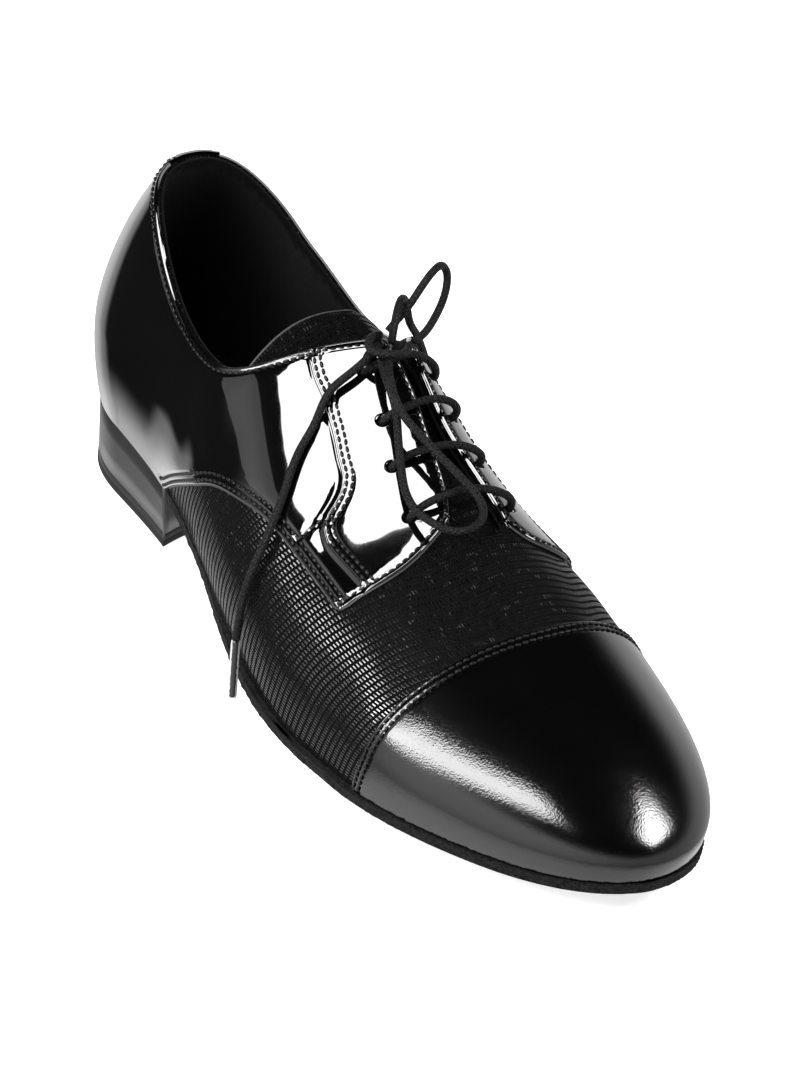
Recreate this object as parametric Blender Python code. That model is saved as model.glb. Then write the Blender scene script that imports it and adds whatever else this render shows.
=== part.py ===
"""A laced dance shoe for the right foot: toe towards -Y, standing on its sole and heel at z = 0."""

import math

import bpy
import numpy as np
from mathutils import Vector
from mathutils.geometry import delaunay_2d_cdt

# All tables are in millimetres, angles in degrees.
MM = 0.001
LATERAL = -1
MEDIAL = 1
SIDES = (LATERAL, MEDIAL)

# Where the frame's origin lies on the last: across, along from the heel, up.
ORIGIN_X = -0.62
ORIGIN_S = 142.15

# Plan of the last. s runs from the heel back to the toe tip.
HEEL_CENTRE = 38.0
HEEL_REACH = 36.0
HEEL_BULGE_REACH = 42.0
HEEL_POWER = 2.15
TOE_CENTRE = 200.0
TOE_REACH = 87.5
TOE_BULGE_REACH = 88.3
TOE_POWERS = {LATERAL: (1.9, 1.72), MEDIAL: (2.2, 2.0)}

# A place on the last: a along its edge (heel back, side, toe tip), v up its girth.
QUARTER_TURN = 90.0
TOE_START = QUARTER_TURN + TOE_CENTRE - HEEL_CENTRE
TOE_TIP = TOE_START + QUARTER_TURN
BULGE_V = 0.30
FLAT_GIRTH = 85.0

# Half widths at the feather edge, how far the side bulges past it,
# the roundness of the section above the bulge and the ridge's shift to the medial side.
WIDTH_COLUMNS = ("s", "lateral", "medial", "bulge_lateral", "bulge_medial", "round_lateral", "round_medial", "ridge")
WIDTH_ROWS = (
    (38, 31.0, 28.5, 3.0, 3.0, 1.60, 1.60, 1.0),
    (66, 32.0, 29.0, 3.5, 3.5, 1.68, 1.62, 5.5),
    (90, 35.0, 27.5, 5.0, 6.5, 1.70, 1.58, 8.5),
    (120, 41.0, 28.5, 5.0, 8.5, 1.70, 1.52, 10.0),
    (150, 46.5, 34.5, 3.5, 6.5, 1.68, 1.52, 9.5),
    (175, 48.8, 42.5, 2.0, 3.5, 1.75, 1.62, 8.0),
    (200, 48.0, 46.5, 1.2, 1.5, 1.92, 1.92, 5.0),
)
# Swing of the centre line, and heights of the feather edge, the bulge and the ridge.
HEIGHT_COLUMNS = ("s", "swing", "feather", "bulge", "ridge_top")
HEIGHT_ROWS = (
    (38, 0.0, 24.5, 52.0, 126.0),
    (66, 0.0, 22.0, 49.5, 119.5),
    (90, 0.0, 17.0, 45.0, 109.0),
    (120, 0.0, 9.8, 38.0, 93.5),
    (150, 0.0, 4.3, 30.0, 79.0),
    (175, 0.0, 3.3, 24.0, 70.0),
    (200, 0.5, 4.6, 20.0, 62.0),
    (225, 1.5, 7.0, 18.8, 54.5),
    (250, 3.0, 9.5, 18.5, 50.0),
    (270, 4.0, 11.4, 19.0, 46.0),
    (288, 4.5, 13.9, 20.0, 39.0),
)

# Thicknesses.
WALL = 2.0
GAP = 0.3
PANEL = 0.9
OUTSOLE = 3.2
SOLE_GAP = 0.42
INSOLE = 2.0
TONGUE = 1.8

# Pattern lines, rows of (side, a, v).
TOPLINE = (
    (LATERAL, 169, 0.965), (LATERAL, 166, 0.880), (LATERAL, 161, 0.779), (LATERAL, 157, 0.711),
    (LATERAL, 150, 0.626), (LATERAL, 143, 0.573), (LATERAL, 131, 0.532), (LATERAL, 116, 0.523),
    (LATERAL, 102, 0.553), (LATERAL, 91, 0.597), (LATERAL, 69, 0.645), (LATERAL, 45, 0.665),
    (LATERAL, 24, 0.673), (LATERAL, 0, 0.675), (MEDIAL, 24, 0.668), (MEDIAL, 45, 0.645),
    (MEDIAL, 69, 0.600), (MEDIAL, 91, 0.550), (MEDIAL, 102, 0.530), (MEDIAL, 116, 0.510),
    (MEDIAL, 131, 0.520), (MEDIAL, 143, 0.570), (MEDIAL, 150, 0.620), (MEDIAL, 157, 0.700),
    (MEDIAL, 163, 0.780), (MEDIAL, 169, 0.860),
)
FACING_LATERAL = (
    (LATERAL, 169, 0.965), (LATERAL, 179, 0.978), (LATERAL, 190, 0.972), (LATERAL, 200, 0.957),
    (LATERAL, 210, 0.942), (LATERAL, 220, 0.924), (LATERAL, 228, 0.900),
)
THROAT_END = ((LATERAL, 228, 0.900), (LATERAL, 235, 0.930), (MEDIAL, 237, 0.985), (MEDIAL, 233, 0.905))
FACING_MEDIAL = (
    (MEDIAL, 233, 0.905), (MEDIAL, 222, 0.897), (MEDIAL, 210, 0.908), (MEDIAL, 198, 0.925),
    (MEDIAL, 185, 0.900), (MEDIAL, 169, 0.860),
)
QUARTER_START = 122.0
QUARTER_EDGE = {
    LATERAL: ((122, 0.0), (130, 0.09), (148, 0.272), (161, 0.387), (177, 0.469), (188, 0.512), (204, 0.544),
              (222, 0.561), (231, 0.564)),
    MEDIAL: ((122, 0.0), (130, 0.09), (148, 0.272), (161, 0.387), (177, 0.469), (190, 0.512), (207, 0.548),
             (226, 0.570), (237, 0.580)),
}
QUARTER_FRONT = {
    LATERAL: ((231, 0.564), (234, 0.668), (235, 0.754), (232, 0.840), (228, 0.900)),
    MEDIAL: ((237, 0.580), (240, 0.680), (241, 0.770), (239, 0.850), (233, 0.905)),
}
EYELETS = {
    LATERAL: ((175.6, 0.869), (190.8, 0.858), (204.5, 0.830), (221.6, 0.813)),
    MEDIAL: ((177.0, 0.775), (193.0, 0.825), (210.0, 0.840), (227.0, 0.835)),
}
EYELET_RADIUS = 2.0
EYELET_SIDES = 8
CAP_S = 208.0
CAP_RISE = 11.5
TAB_A = 24.0
TAB_V = 0.565

# Tongue: half widths as places on the girth, and how deep it lies below the ridge.
TONGUE_COLUMNS = ("a", "lateral", "medial", "depth")
TONGUE_ROWS = (
    (143, 0.655, 0.680, 14.2), (146, 0.655, 0.690, 14.0), (150, 0.660, 0.700, 12.8), (158, 0.690, 0.740, 10.5),
    (170, 0.72, 0.78, 8.5), (185, 0.73, 0.80, 6.6), (200, 0.75, 0.82, 5.8), (217, 0.77, 0.83, 5.0), (232, 0.80, 0.84, 4.0),
    (242, 0.82, 0.86, 3.5),
)
# The tongue's top edge: share of its width from the lateral side, and a.
TONGUE_TOP = ((0.0, 144.5), (0.18, 143.4), (0.30, 144.2), (0.50, 147.6), (0.73, 150.0), (1.0, 152.5))
TONGUE_FOLLOW = 0.8
TONGUE_STEPS = 6

# Heel.
BREAST_S = 70.0
BREAST_HOLLOW = 6.0
HEEL_MARGIN = 1.0
HEEL_TAPER = 0.955
HEEL_FORWARD = 0.9
LIFT = 4.6
OUTSOLE_EDGE_WAIST = 0.3
OUTSOLE_EDGE_FORE = 2.0
WAIST_A = 150.0
FORE_A = 190.0

# Laces.
LACE_RADIUS = 1.25
LACE_LIFT = 2.95
AGLET_RADIUS = 1.45
LACE_BARS = {
    "lace_bar_top": ((LATERAL, 175.6, 0.869, 2.95), (LATERAL, 176, 0.94, 2.9), (MEDIAL, 176, 0.985, 2.9),
                     (MEDIAL, 176.5, 0.87, 3.6), (MEDIAL, 177, 0.775, 2.95)),
    "lace_bar_upper": ((LATERAL, 190.8, 0.858, 2.95), (LATERAL, 191, 0.93, 3.6), (MEDIAL, 191.5, 0.985, 4.4),
                       (MEDIAL, 192.5, 0.90, 5.0), (MEDIAL, 193, 0.825, 2.95)),
    "lace_bar_middle": ((LATERAL, 204.5, 0.830, 2.95), (LATERAL, 205.5, 0.91, 4.2), (MEDIAL, 207, 0.985, 3.8),
                        (MEDIAL, 208.5, 0.90, 4.2), (MEDIAL, 210, 0.840, 2.95)),
    "lace_bar_lower": ((LATERAL, 221.6, 0.813, 2.95), (LATERAL, 222.5, 0.90, 5.2), (MEDIAL, 224, 0.985, 5.0),
                       (MEDIAL, 225.5, 0.90, 5.0), (MEDIAL, 227, 0.835, 2.95)),
}
# Free lace runs as rows of (across, along, up) on the last.
LACE_ROUTES = {
    "lace_loop_hanging": (
        (2.3, 124.6, 95.4), (-0.1, 127.2, 95.2), (-1.6, 131.2, 94.0), (-2.9, 136.3, 92.4), (-3.6, 140.6, 90.1),
        (-4.5, 144.1, 88.2), (-6.3, 148.6, 85.4), (-8.6, 153.8, 82.3), (-10.7, 159.1, 79.3), (-12.7, 164.2, 76.9),
        (-14.1, 169.4, 75.2), (-14.2, 174.0, 74.0), (-13.3, 178.5, 73.4), (-11.4, 183.0, 73.0), (-8.6, 186.4, 72.8),
        (-5.0, 188.1, 73.3), (-1.1, 187.7, 74.2), (2.0, 185.5, 75.4), (3.4, 182.3, 76.6), (3.4, 178.4, 78.1),
        (2.6, 174.0, 79.4), (1.4, 168.4, 81.2), (-0.3, 162.7, 83.0), (-1.6, 158.3, 84.7), (-3.0, 153.9, 86.6),
        (-4.3, 149.9, 88.5), (-4.9, 146.4, 90.5), (-4.8, 142.5, 92.6), (-3.5, 138.2, 94.3), (-1.5, 133.5, 95.3),
        (0.9, 129.3, 95.9), (3.4, 125.8, 96.1),
    ),
    "lace_loop_upright": (
        (5.5, 120.5, 100.3), (7.5, 120.5, 102.6), (9.9, 120.4, 105.3), (12.5, 120.4, 108.7), (15.5, 120.1, 113.1),
        (18.8, 119.4, 116.7), (22.0, 118.1, 118.0), (24.9, 116.6, 117.0), (27.0, 116.3, 114.2), (26.8, 117.6, 110.1),
        (24.6, 119.7, 106.5), (21.1, 122.1, 103.3), (17.5, 124.1, 100.8), (14.3, 125.1, 99.1), (12.0, 125.0, 98.1),
    ),
    "lace_end_lateral": (
        (1.9, 122.4, 97.6), (-2.0, 124.6, 96.4), (-6.3, 125.6, 94.0), (-10.5, 125.8, 91.3),
        (-15.9, 125.8, 87.2), (-23.0, 129.7, 78.9), (-28.9, 132.6, 73.1), (-36.3, 138.3, 64.1), (-43.1, 143.2, 54.5),
        (-48.0, 145.6, 46.3), (-51.5, 146.8, 37.1), (-53.4, 148.3, 27.7), (-54.4, 149.6, 21.6),
    ),
    "lace_end_medial": (
        (3.7, 125.7, 99.5), (4.2, 125.0, 102.8), (5.6, 123.3, 106.1), (7.8, 120.8, 108.8), (10.5, 118.1, 109.1),
        (13.1, 116.1, 107.4), (15.0, 115.3, 103.8), (16.6, 115.2, 98.9), (21.3, 112.9, 92.3), (26.4, 111.4, 83.6),
        (31.4, 110.2, 72.9), (35.3, 109.5, 61.0), (37.4, 108.9, 51.7),
    ),
}
AGLETS = {
    "aglet_lateral": ((-54.48, 149.74, 21.05), (-55.4, 152.0, 13.4), (-56.5, 154.7, 4.7)),
    "aglet_medial": ((37.60, 108.85, 51.1), (38.9, 108.8, 44.4), (39.2, 108.7, 37.0)),
}
# The bow's turn: a lobe on the lateral side, then across the front of the hanging strands.
KNOT_ROUTE = (
    (3.3, 120.3, 99.3), (1.2, 120.3, 99.5), (-1.6, 121.8, 99.5), (-3.2, 124.0, 98.9), (-3.1, 126.6, 98.5),
    (-1.5, 128.7, 98.7), (0.9, 130.5, 99.0), (3.5, 131.2, 98.8), (6.4, 130.0, 98.6), (9.2, 127.3, 98.7),
)
CORD_STEP = 5.0

# Spacing of the facets.
HEEL_STEPS = 6
SIDE_STEP = 9.0
TOE_STEPS = 10
GIRTH_V = (0.10, 0.20, 0.30, 0.39, 0.48, 0.57, 0.66, 0.75, 0.84, 0.92, 1.0)
LINE_STEP = 6.5
CLEAR_OF_LINE = 3.6
CLEAR_OF_POINT = 4.6
PLATE_STEP = 11.0
WELD = 1e-4

COLOURS = {
    "patent": ((0.012, 0.012, 0.013), 0.06),
    "vamp": ((0.02, 0.02, 0.021), 0.55),
    "cap": ((0.014, 0.014, 0.015), 0.18),
    "sole": ((0.03, 0.03, 0.03), 0.95),
    "heel": ((0.035, 0.035, 0.036), 0.45),
    "rubber": ((0.012, 0.012, 0.012), 0.8),
    "lace": ((0.03, 0.03, 0.032), 0.6),
    "clear": ((0.25, 0.25, 0.26), 0.15),
}


def clear_scene():
    for item in list(bpy.data.objects):
        bpy.data.objects.remove(item, do_unlink=True)


def spline(xs, ys, flat_end=False):
    """A cubic through the rows of a table, straight or level at its far end."""
    xs = np.asarray(xs, float)
    ys = np.asarray(ys, float)
    count = len(xs)
    step = np.diff(xs)
    slope = np.diff(ys) / step
    matrix = np.eye(count)
    right = np.zeros(count)
    for i in range(1, count - 1):
        matrix[i, i - 1:i + 2] = step[i - 1], 2 * (step[i - 1] + step[i]), step[i]
        right[i] = 6 * (slope[i] - slope[i - 1])
    if flat_end:
        matrix[-1, -2:] = step[-1], 2 * step[-1]
        right[-1] = -6 * slope[-1]
    bend = np.linalg.solve(matrix, right)

    def value(x):
        x = np.clip(np.asarray(x, float), xs[0], xs[-1])
        i = np.clip(np.searchsorted(xs, x) - 1, 0, count - 2)
        low = x - xs[i]
        high = xs[i + 1] - x
        curve = (bend[i] * high ** 3 + bend[i + 1] * low ** 3) / (6 * step[i])
        left = (ys[i] / step[i] - bend[i] * step[i] / 6) * high
        return curve + left + (ys[i + 1] / step[i] - bend[i + 1] * step[i] / 6) * low

    return value


def table(columns, rows, flat_end=False):
    """One curve for each named column, over the first column."""
    keys = [row[0] for row in rows]
    return {name: spline(keys, [row[i] for row in rows], flat_end) for i, name in enumerate(columns) if i}


WIDTH = table(WIDTH_COLUMNS, WIDTH_ROWS, True)
HEIGHT = table(HEIGHT_COLUMNS, HEIGHT_ROWS)
TONGUE_TABLE = table(TONGUE_COLUMNS, TONGUE_ROWS)


def last_point(a, side, v):
    """The outer surface of the upper: across, along and up."""
    a, side, v = np.broadcast_arrays(np.asarray(a, float), np.asarray(side, float), np.asarray(v, float))
    heel = a < QUARTER_TURN
    toe = a > TOE_START
    s_row = np.clip(a - QUARTER_TURN + HEEL_CENTRE, HEEL_CENTRE, TOE_CENTRE)
    near = side < 0
    edge = np.where(near, WIDTH["lateral"](s_row), WIDTH["medial"](s_row))
    widest = edge + np.where(near, WIDTH["bulge_lateral"](s_row), WIDTH["bulge_medial"](s_row))
    power = 2.0 / np.where(near, WIDTH["round_lateral"](s_row), WIDTH["round_medial"](s_row))
    turn = np.radians(np.where(heel, QUARTER_TURN - a, np.where(toe, a - TOE_START, 0.0)))
    climb = np.clip((v - BULGE_V) / (1 - BULGE_V), 0, 1) * math.pi / 2
    drop = np.clip((BULGE_V - v) / BULGE_V, 0, 1)
    inward = np.cos(climb) ** power
    upward = np.sin(climb) ** power
    below = v < BULGE_V
    toe_t = np.sin(turn)
    p = np.where(near, TOE_POWERS[LATERAL][0], TOE_POWERS[MEDIAL][0])
    q = np.where(near, TOE_POWERS[LATERAL][1], TOE_POWERS[MEDIAL][1])
    toe_x = np.clip(1 - toe_t ** q, 0, 1) ** (1 / p)
    heel_power = 2 / HEEL_POWER
    share = np.where(heel, np.cos(turn) ** heel_power, np.where(toe, toe_x, 1.0))

    def reach(low, high):
        return np.where(below, high - (high - low) * drop ** 2, high * inward)

    x = side * reach(edge, widest) * share
    x = x + np.where(below, 0.0, WIDTH["ridge"](s_row) * (1 - inward))
    back = reach(HEEL_REACH, HEEL_BULGE_REACH) * np.sin(turn) ** heel_power
    front = reach(TOE_REACH, TOE_BULGE_REACH) * toe_t
    s = np.where(heel, HEEL_CENTRE - back, np.where(toe, TOE_CENTRE + front, s_row))
    s_edge = np.where(toe, TOE_CENTRE + TOE_REACH * toe_t, s_row)
    s_here = np.where(toe, s, s_row)
    low_z = HEIGHT["feather"](s_edge)
    mid_z = HEIGHT["bulge"](s_edge)
    top_z = HEIGHT["ridge_top"](s_here)
    z = np.where(below, mid_z - (mid_z - low_z) * drop, mid_z + (top_z - mid_z) * upward)
    z = z + np.where(heel, np.sin(turn) ** 2 * (1 - v), 0.0)
    return np.stack([HEIGHT["swing"](s_here) + x, s, z], -1)


def one_normal(a, side, v):
    small = 1e-3
    v = np.clip(v, 0.002, 0.985)
    a = np.clip(a, 0.01, TOE_TIP - 0.01)
    along = last_point(a + small, side, v) - last_point(a - small, side, v)
    up = last_point(a, side, v + small) - last_point(a, side, v - small)
    normal = np.cross(along, up) * np.asarray(side, float)[..., None]
    return normal / np.linalg.norm(normal, axis=-1, keepdims=True)


def last_normal(a, side, v):
    """Outward direction, the same for both sides on the ridge and level at the feather edge."""
    a = np.asarray(a, float)
    side = np.asarray(side, float)
    v = np.asarray(v, float)
    ridge = v > 0.999
    a_ridge = np.where(ridge, np.minimum(a, TOE_START), a)
    normal = one_normal(a_ridge, side, v)
    other = one_normal(a_ridge, -side, v)
    normal = np.where(ridge[..., None], normal + other, normal)
    middle = (a < 0.02) | (a > TOE_TIP - 0.02)
    normal[..., 0] = np.where(middle & ~ridge, 0.0, normal[..., 0])
    normal[..., 2] = np.where(v < 0.02, 0.0, normal[..., 2])
    return normal / np.linalg.norm(normal, axis=-1, keepdims=True)


def flat(a, side, v):
    """The last laid out flat: the ridge is its middle line and the feather edge its outline."""
    a = np.asarray(a, float)
    reach = FLAT_GIRTH * (1.0 - np.asarray(v, float))
    heel_turn = np.radians(np.clip(QUARTER_TURN - a, 0, QUARTER_TURN))
    toe_turn = np.radians(np.clip(a - TOE_START, 0, QUARTER_TURN))
    x = side * reach * np.cos(heel_turn) * np.cos(toe_turn)
    y = np.clip(a - QUARTER_TURN + HEEL_CENTRE, HEEL_CENTRE, TOE_CENTRE)
    y = y - reach * np.sin(heel_turn) + reach * np.sin(toe_turn)
    return np.stack([x, y], -1)


def unflat(points):
    """The place on the last of points on the flat layout."""
    x = points[:, 0]
    y = points[:, 1]
    side = np.where(x > 1e-6, float(MEDIAL), float(LATERAL))
    back = np.maximum(HEEL_CENTRE - y, 0)
    front = np.maximum(y - TOE_CENTRE, 0)
    reach = np.sqrt(x ** 2 + back ** 2 + front ** 2)
    heel_a = QUARTER_TURN - np.degrees(np.arctan2(back, np.abs(x)))
    toe_a = TOE_START + np.degrees(np.arctan2(front, np.abs(x)))
    a = np.where(back > 0, heel_a, np.where(front > 0, toe_a, QUARTER_TURN + y - HEEL_CENTRE))
    v = np.clip(1.0 - reach / FLAT_GIRTH, 0.0, 1.0)
    return a, side, v


def smooth(points, step):
    """A smooth line through points, kept at each of them and filled between at about one step."""
    points = np.asarray(points, float)
    chord = np.linalg.norm(np.diff(points, axis=0), axis=1)
    run = np.concatenate([[0.0], np.cumsum(chord)])
    curves = [spline(run, points[:, k]) for k in range(points.shape[1])]
    places = [0.0]
    for i, length in enumerate(chord):
        pieces = max(1, int(round(length / step)))
        places.extend(run[i] + length * (j + 1) / pieces for j in range(pieces))
    return np.stack([curve(places) for curve in curves], -1)


def flat_line(rows, step=LINE_STEP):
    rows = np.asarray(rows, float)
    return smooth(flat(rows[:, 1], rows[:, 0], rows[:, 2]), step)


def side_line(side, rows):
    return flat_line([(side, a, v) for a, v in rows])


def columns():
    heel = [i * QUARTER_TURN / HEEL_STEPS for i in range(HEEL_STEPS)]
    count = int(round((TOE_START - QUARTER_TURN) / SIDE_STEP))
    strip = [QUARTER_TURN + i * (TOE_START - QUARTER_TURN) / count for i in range(count)]
    toe = [TOE_START + i * QUARTER_TURN / TOE_STEPS for i in range(TOE_STEPS + 1)]
    return heel + strip + toe


def inside(points, polygon):
    """Which points lie within a closed outline."""
    points = np.asarray(points, float)
    x = points[:, 0][:, None]
    y = points[:, 1][:, None]
    x0, y0 = polygon[:, 0], polygon[:, 1]
    x1, y1 = np.roll(x0, -1), np.roll(y0, -1)
    span = (y0 > y) != (y1 > y)
    rise = np.where(y1 == y0, 1e-12, y1 - y0)
    cross = x0 + (y - y0) / rise * (x1 - x0)
    return (span & (x < cross)).sum(1) % 2 == 1


def cap_place(side, v):
    """Where the toe cap's edge crosses the girth at v."""
    probe = last_point(TOE_TIP, side, v)[1] - TOE_CENTRE
    ahead = (CAP_S + CAP_RISE * v - TOE_CENTRE) / max(probe, 1e-9)
    return TOE_START + math.degrees(math.asin(min(ahead, 1.0)))


def cap_top():
    """Girth at which the cap's edge crosses the ridge."""
    low, high = 0.5, 0.99
    for _ in range(40):
        mid = (low + high) / 2
        if last_point(TOE_TIP, LATERAL, mid)[1] > CAP_S + CAP_RISE * mid:
            low = mid
        else:
            high = mid
    return low


def cap_line():
    top = cap_top()
    rises = [top * math.sin(math.pi / 2 * i / 13) for i in range(14)]
    lateral = [flat(cap_place(LATERAL, v), LATERAL, v) for v in rises[:-1]]
    medial = [flat(cap_place(MEDIAL, v), MEDIAL, v) for v in reversed(rises[:-1])]
    return np.array(lateral + [flat(TOE_TIP, LATERAL, top)] + medial)


def eyelet_ring(side, a, v):
    """A round hole: its corners on the flat layout."""
    small = 1e-3
    along = (last_point(a + small, side, v) - last_point(a - small, side, v)) / (2 * small)
    up = (last_point(a, side, v + small) - last_point(a, side, v - small)) / (2 * small)
    first = along / np.linalg.norm(along)
    second = up - first * (up @ first)
    second = second / np.linalg.norm(second)
    basis = np.stack([along, up], -1)
    ring = []
    for i in range(EYELET_SIDES):
        turn = 2 * math.pi * i / EYELET_SIDES
        offset = EYELET_RADIUS * (math.cos(turn) * first + math.sin(turn) * second)
        da, dv = np.linalg.lstsq(basis, offset, rcond=None)[0]
        ring.append(flat(a + da, side, v + dv))
    return np.array(ring)


class Pattern:
    """The whole upper as one flat set of triangles that all its panels share."""

    def __init__(self):
        self.points = []
        self.edges = []
        self.topline = flat_line(TOPLINE)
        self.facing_l = flat_line(FACING_LATERAL)
        self.throat = flat_line(THROAT_END)
        self.facing_m = flat_line(FACING_MEDIAL)
        opening = [self.facing_l[:-1], self.throat[:-1], self.facing_m[:-1], self.topline[::-1][:-1]]
        self.opening = np.concatenate(opening)
        self.cap = cap_line()
        self.quarter_edge = {side: self.quarter_line(side) for side in SIDES}
        self.rings = [eyelet_ring(side, a, v) for side in SIDES for a, v in EYELETS[side]]
        self.edge_a = sorted(set(columns()) | {QUARTER_START})
        self.cap_a = {side: cap_place(side, 0.0) for side in SIDES}
        self.outline = self.feather_loop()
        self.back = self.back_line()
        self.tab = self.tab_line()
        self.collect()
        self.triangulate()

    def quarter_line(self, side):
        edge = side_line(side, QUARTER_EDGE[side])
        front = side_line(side, QUARTER_FRONT[side])
        return np.concatenate([edge[:-1], front])

    def feather_loop(self):
        lateral = sorted(self.edge_a + [self.cap_a[LATERAL]])
        medial = sorted(self.edge_a + [self.cap_a[MEDIAL]])
        near = [flat(a, LATERAL, 0.0) for a in lateral]
        far = [flat(a, MEDIAL, 0.0) for a in reversed(medial[1:-1])]
        return np.array(near + far)

    def back_line(self):
        top = TOPLINE[13][2]
        rows = [v for v in GIRTH_V if v < TAB_V - 0.03]
        return np.array([flat(0.0, LATERAL, v) for v in [0.0] + rows + [TAB_V, 0.62, top]])

    def tab_line(self):
        top_l = [row[2] for row in TOPLINE if row[0] == LATERAL and row[1] == TAB_A][0]
        top_m = [row[2] for row in TOPLINE if row[0] == MEDIAL and row[1] == TAB_A][0]
        rows = [(LATERAL, TAB_A, top_l), (LATERAL, TAB_A, 0.62), (LATERAL, 17.0, 0.578), (LATERAL, 0.0, TAB_V),
                (MEDIAL, 17.0, 0.578), (MEDIAL, TAB_A, 0.62), (MEDIAL, TAB_A, top_m)]
        return np.array([flat(a, side, v) for side, a, v in rows])

    def add_line(self, line, closed):
        start = len(self.points)
        self.points.extend(line)
        count = len(line)
        self.edges.extend((start + i, start + i + 1) for i in range(count - 1))
        if closed:
            self.edges.append((start + count - 1, start))

    def collect(self):
        self.add_line(self.outline, True)
        self.add_line(self.opening, True)
        for line in (self.cap, self.quarter_edge[LATERAL], self.quarter_edge[MEDIAL], self.back, self.tab):
            self.add_line(line, False)
        for ring in self.rings:
            self.add_line(ring, True)
        fixed = np.array(self.points)
        chosen = []
        for v in reversed(GIRTH_V):
            for a in columns():
                for side in SIDES:
                    self.try_point(flat(a, side, v), fixed, chosen)
        self.points.extend(chosen)

    def try_point(self, spot, fixed, chosen):
        if inside(spot[None], self.opening)[0]:
            return
        if np.linalg.norm(fixed - spot, axis=1).min() < CLEAR_OF_LINE:
            return
        if chosen and np.linalg.norm(np.array(chosen) - spot, axis=1).min() < CLEAR_OF_POINT:
            return
        chosen.append(spot)

    def triangulate(self):
        result = delaunay_2d_cdt([Vector(p) for p in self.points], self.edges, [], 0, WELD)
        self.flat = np.array([tuple(p) for p in result[0]])
        faces = np.array([face for face in result[2] if len(face) == 3])
        middle = self.flat[faces].mean(1)
        keep = inside(middle, self.outline) & ~inside(middle, self.opening)
        for ring in self.rings:
            keep &= ~inside(middle, ring)
        self.faces = faces[keep]
        self.middle = middle[keep]
        self.a, self.side, self.v = unflat(self.flat)
        self.spot = last_point(self.a, self.side, self.v)
        self.normal = last_normal(self.a, self.side, self.v)

    def quarter_region(self, side):
        front = self.quarter_edge[side]
        facing = self.facing_l[::-1] if side == LATERAL else self.facing_m
        half = int(np.argmin(self.topline[:, 1]))
        top = self.topline[:half + 1] if side == LATERAL else self.topline[half:][::-1]
        back = self.back[::-1]
        feather = np.array([flat(a, side, 0.0) for a in self.edge_a if 0 < a < QUARTER_START])
        return inside(self.middle, np.concatenate([front, facing[1:], top[1:], back[1:], feather]))

    def cap_region(self):
        rim = [flat(a, MEDIAL, 0.0) for a in self.edge_a if a > self.cap_a[MEDIAL]]
        rim += [flat(a, LATERAL, 0.0) for a in reversed(self.edge_a) if a > self.cap_a[LATERAL]]
        return inside(self.middle, np.concatenate([self.cap, np.array(rim)]))

    def tab_region(self):
        top = np.array([flat(a, side, v) for side, a, v in TOPLINE if a < TAB_A])[::-1]
        return inside(self.middle, np.concatenate([self.tab, top]))


def material(name):
    colour, rough = COLOURS[name]
    item = bpy.data.materials.get(name) or bpy.data.materials.new(name)
    item.use_nodes = True
    shader = item.node_tree.nodes["Principled BSDF"]
    shader.inputs["Base Color"].default_value = (*colour, 1.0)
    shader.inputs["Roughness"].default_value = rough
    return item


def place(points):
    """From the last's millimetres to the frame's metres."""
    points = np.asarray(points, float)
    return np.stack([points[..., 0] - ORIGIN_X, ORIGIN_S - points[..., 1], points[..., 2]], -1) * MM


def add_mesh(name, points, faces, look):
    mesh = bpy.data.meshes.new(name)
    mesh.from_pydata([tuple(p) for p in place(points)], [], [tuple(int(i) for i in f) for f in faces])
    mesh.materials.append(material(look))
    mesh.update()
    item = bpy.data.objects.new(name, mesh)
    bpy.context.collection.objects.link(item)
    return item


def walls(faces, count):
    """Faces that close the rims between an outer and an inner copy of a set of faces."""
    seen = set()
    for face in faces:
        for i in range(3):
            seen.add((face[i], face[(i + 1) % 3]))
    rims = [(i, j) for i, j in seen if (j, i) not in seen]
    return [(j, i, i + count, j + count) for i, j in sorted(rims)]


def two_skins(name, outer, inner, faces, look):
    """A closed solid between two skins that share one set of outward triangles."""
    count = len(outer)
    shell = [tuple(f) for f in faces]
    shell += [(f[2] + count, f[1] + count, f[0] + count) for f in faces]
    shell += walls(faces, count)
    return add_mesh(name, np.concatenate([outer, inner]), shell, look)


def outward(points, faces, normals):
    first = np.cross(points[faces[:, 1]] - points[faces[:, 0]], points[faces[:, 2]] - points[faces[:, 0]])
    # The frame reverses the direction along the shoe, so the turning direction reverses with it.
    agree = (first * normals[faces].mean(1)).sum(1) < 0
    return np.where(agree[:, None], faces, faces[:, ::-1])


def panel(name, pattern, region, low, high, look, centre_gap=0.0):
    """One piece of the upper: the chosen triangles between two distances from the last."""
    faces = pattern.faces[region]
    used = np.unique(faces)
    slot = np.full(len(pattern.flat), -1)
    slot[used] = np.arange(len(used))
    faces = slot[faces]
    spot = pattern.spot[used]
    normal = pattern.normal[used]
    faces = outward(spot, faces, normal)
    outer = spot + high * normal
    inner = spot + low * normal
    if centre_gap:
        at_back = np.abs(pattern.flat[used][:, 0]) < 1e-6
        shift = np.where(at_back, centre_gap, 0.0)
        outer[:, 0] = outer[:, 0] + shift
        inner[:, 0] = inner[:, 0] + shift
    return two_skins(name, outer, inner, faces, look)


def seat(s):
    """Height of the feather edge along the shoe, with the rise at the heel back."""
    s = np.asarray(s, float)
    back = np.clip((HEEL_CENTRE - s) / HEEL_REACH, 0, 1.2)
    return HEIGHT["feather"](s) + back ** HEEL_POWER


def edge_points(side, places, margin):
    """Plan of the feather edge moved outward by a margin."""
    places = np.asarray(places, float)
    spot = last_point(places, float(side), 0.0)
    normal = last_normal(places, np.full(len(places), float(side)), np.zeros(len(places)))
    return spot[:, :2] + normal[:, :2] * np.asarray(margin, float)[..., None]


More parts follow.
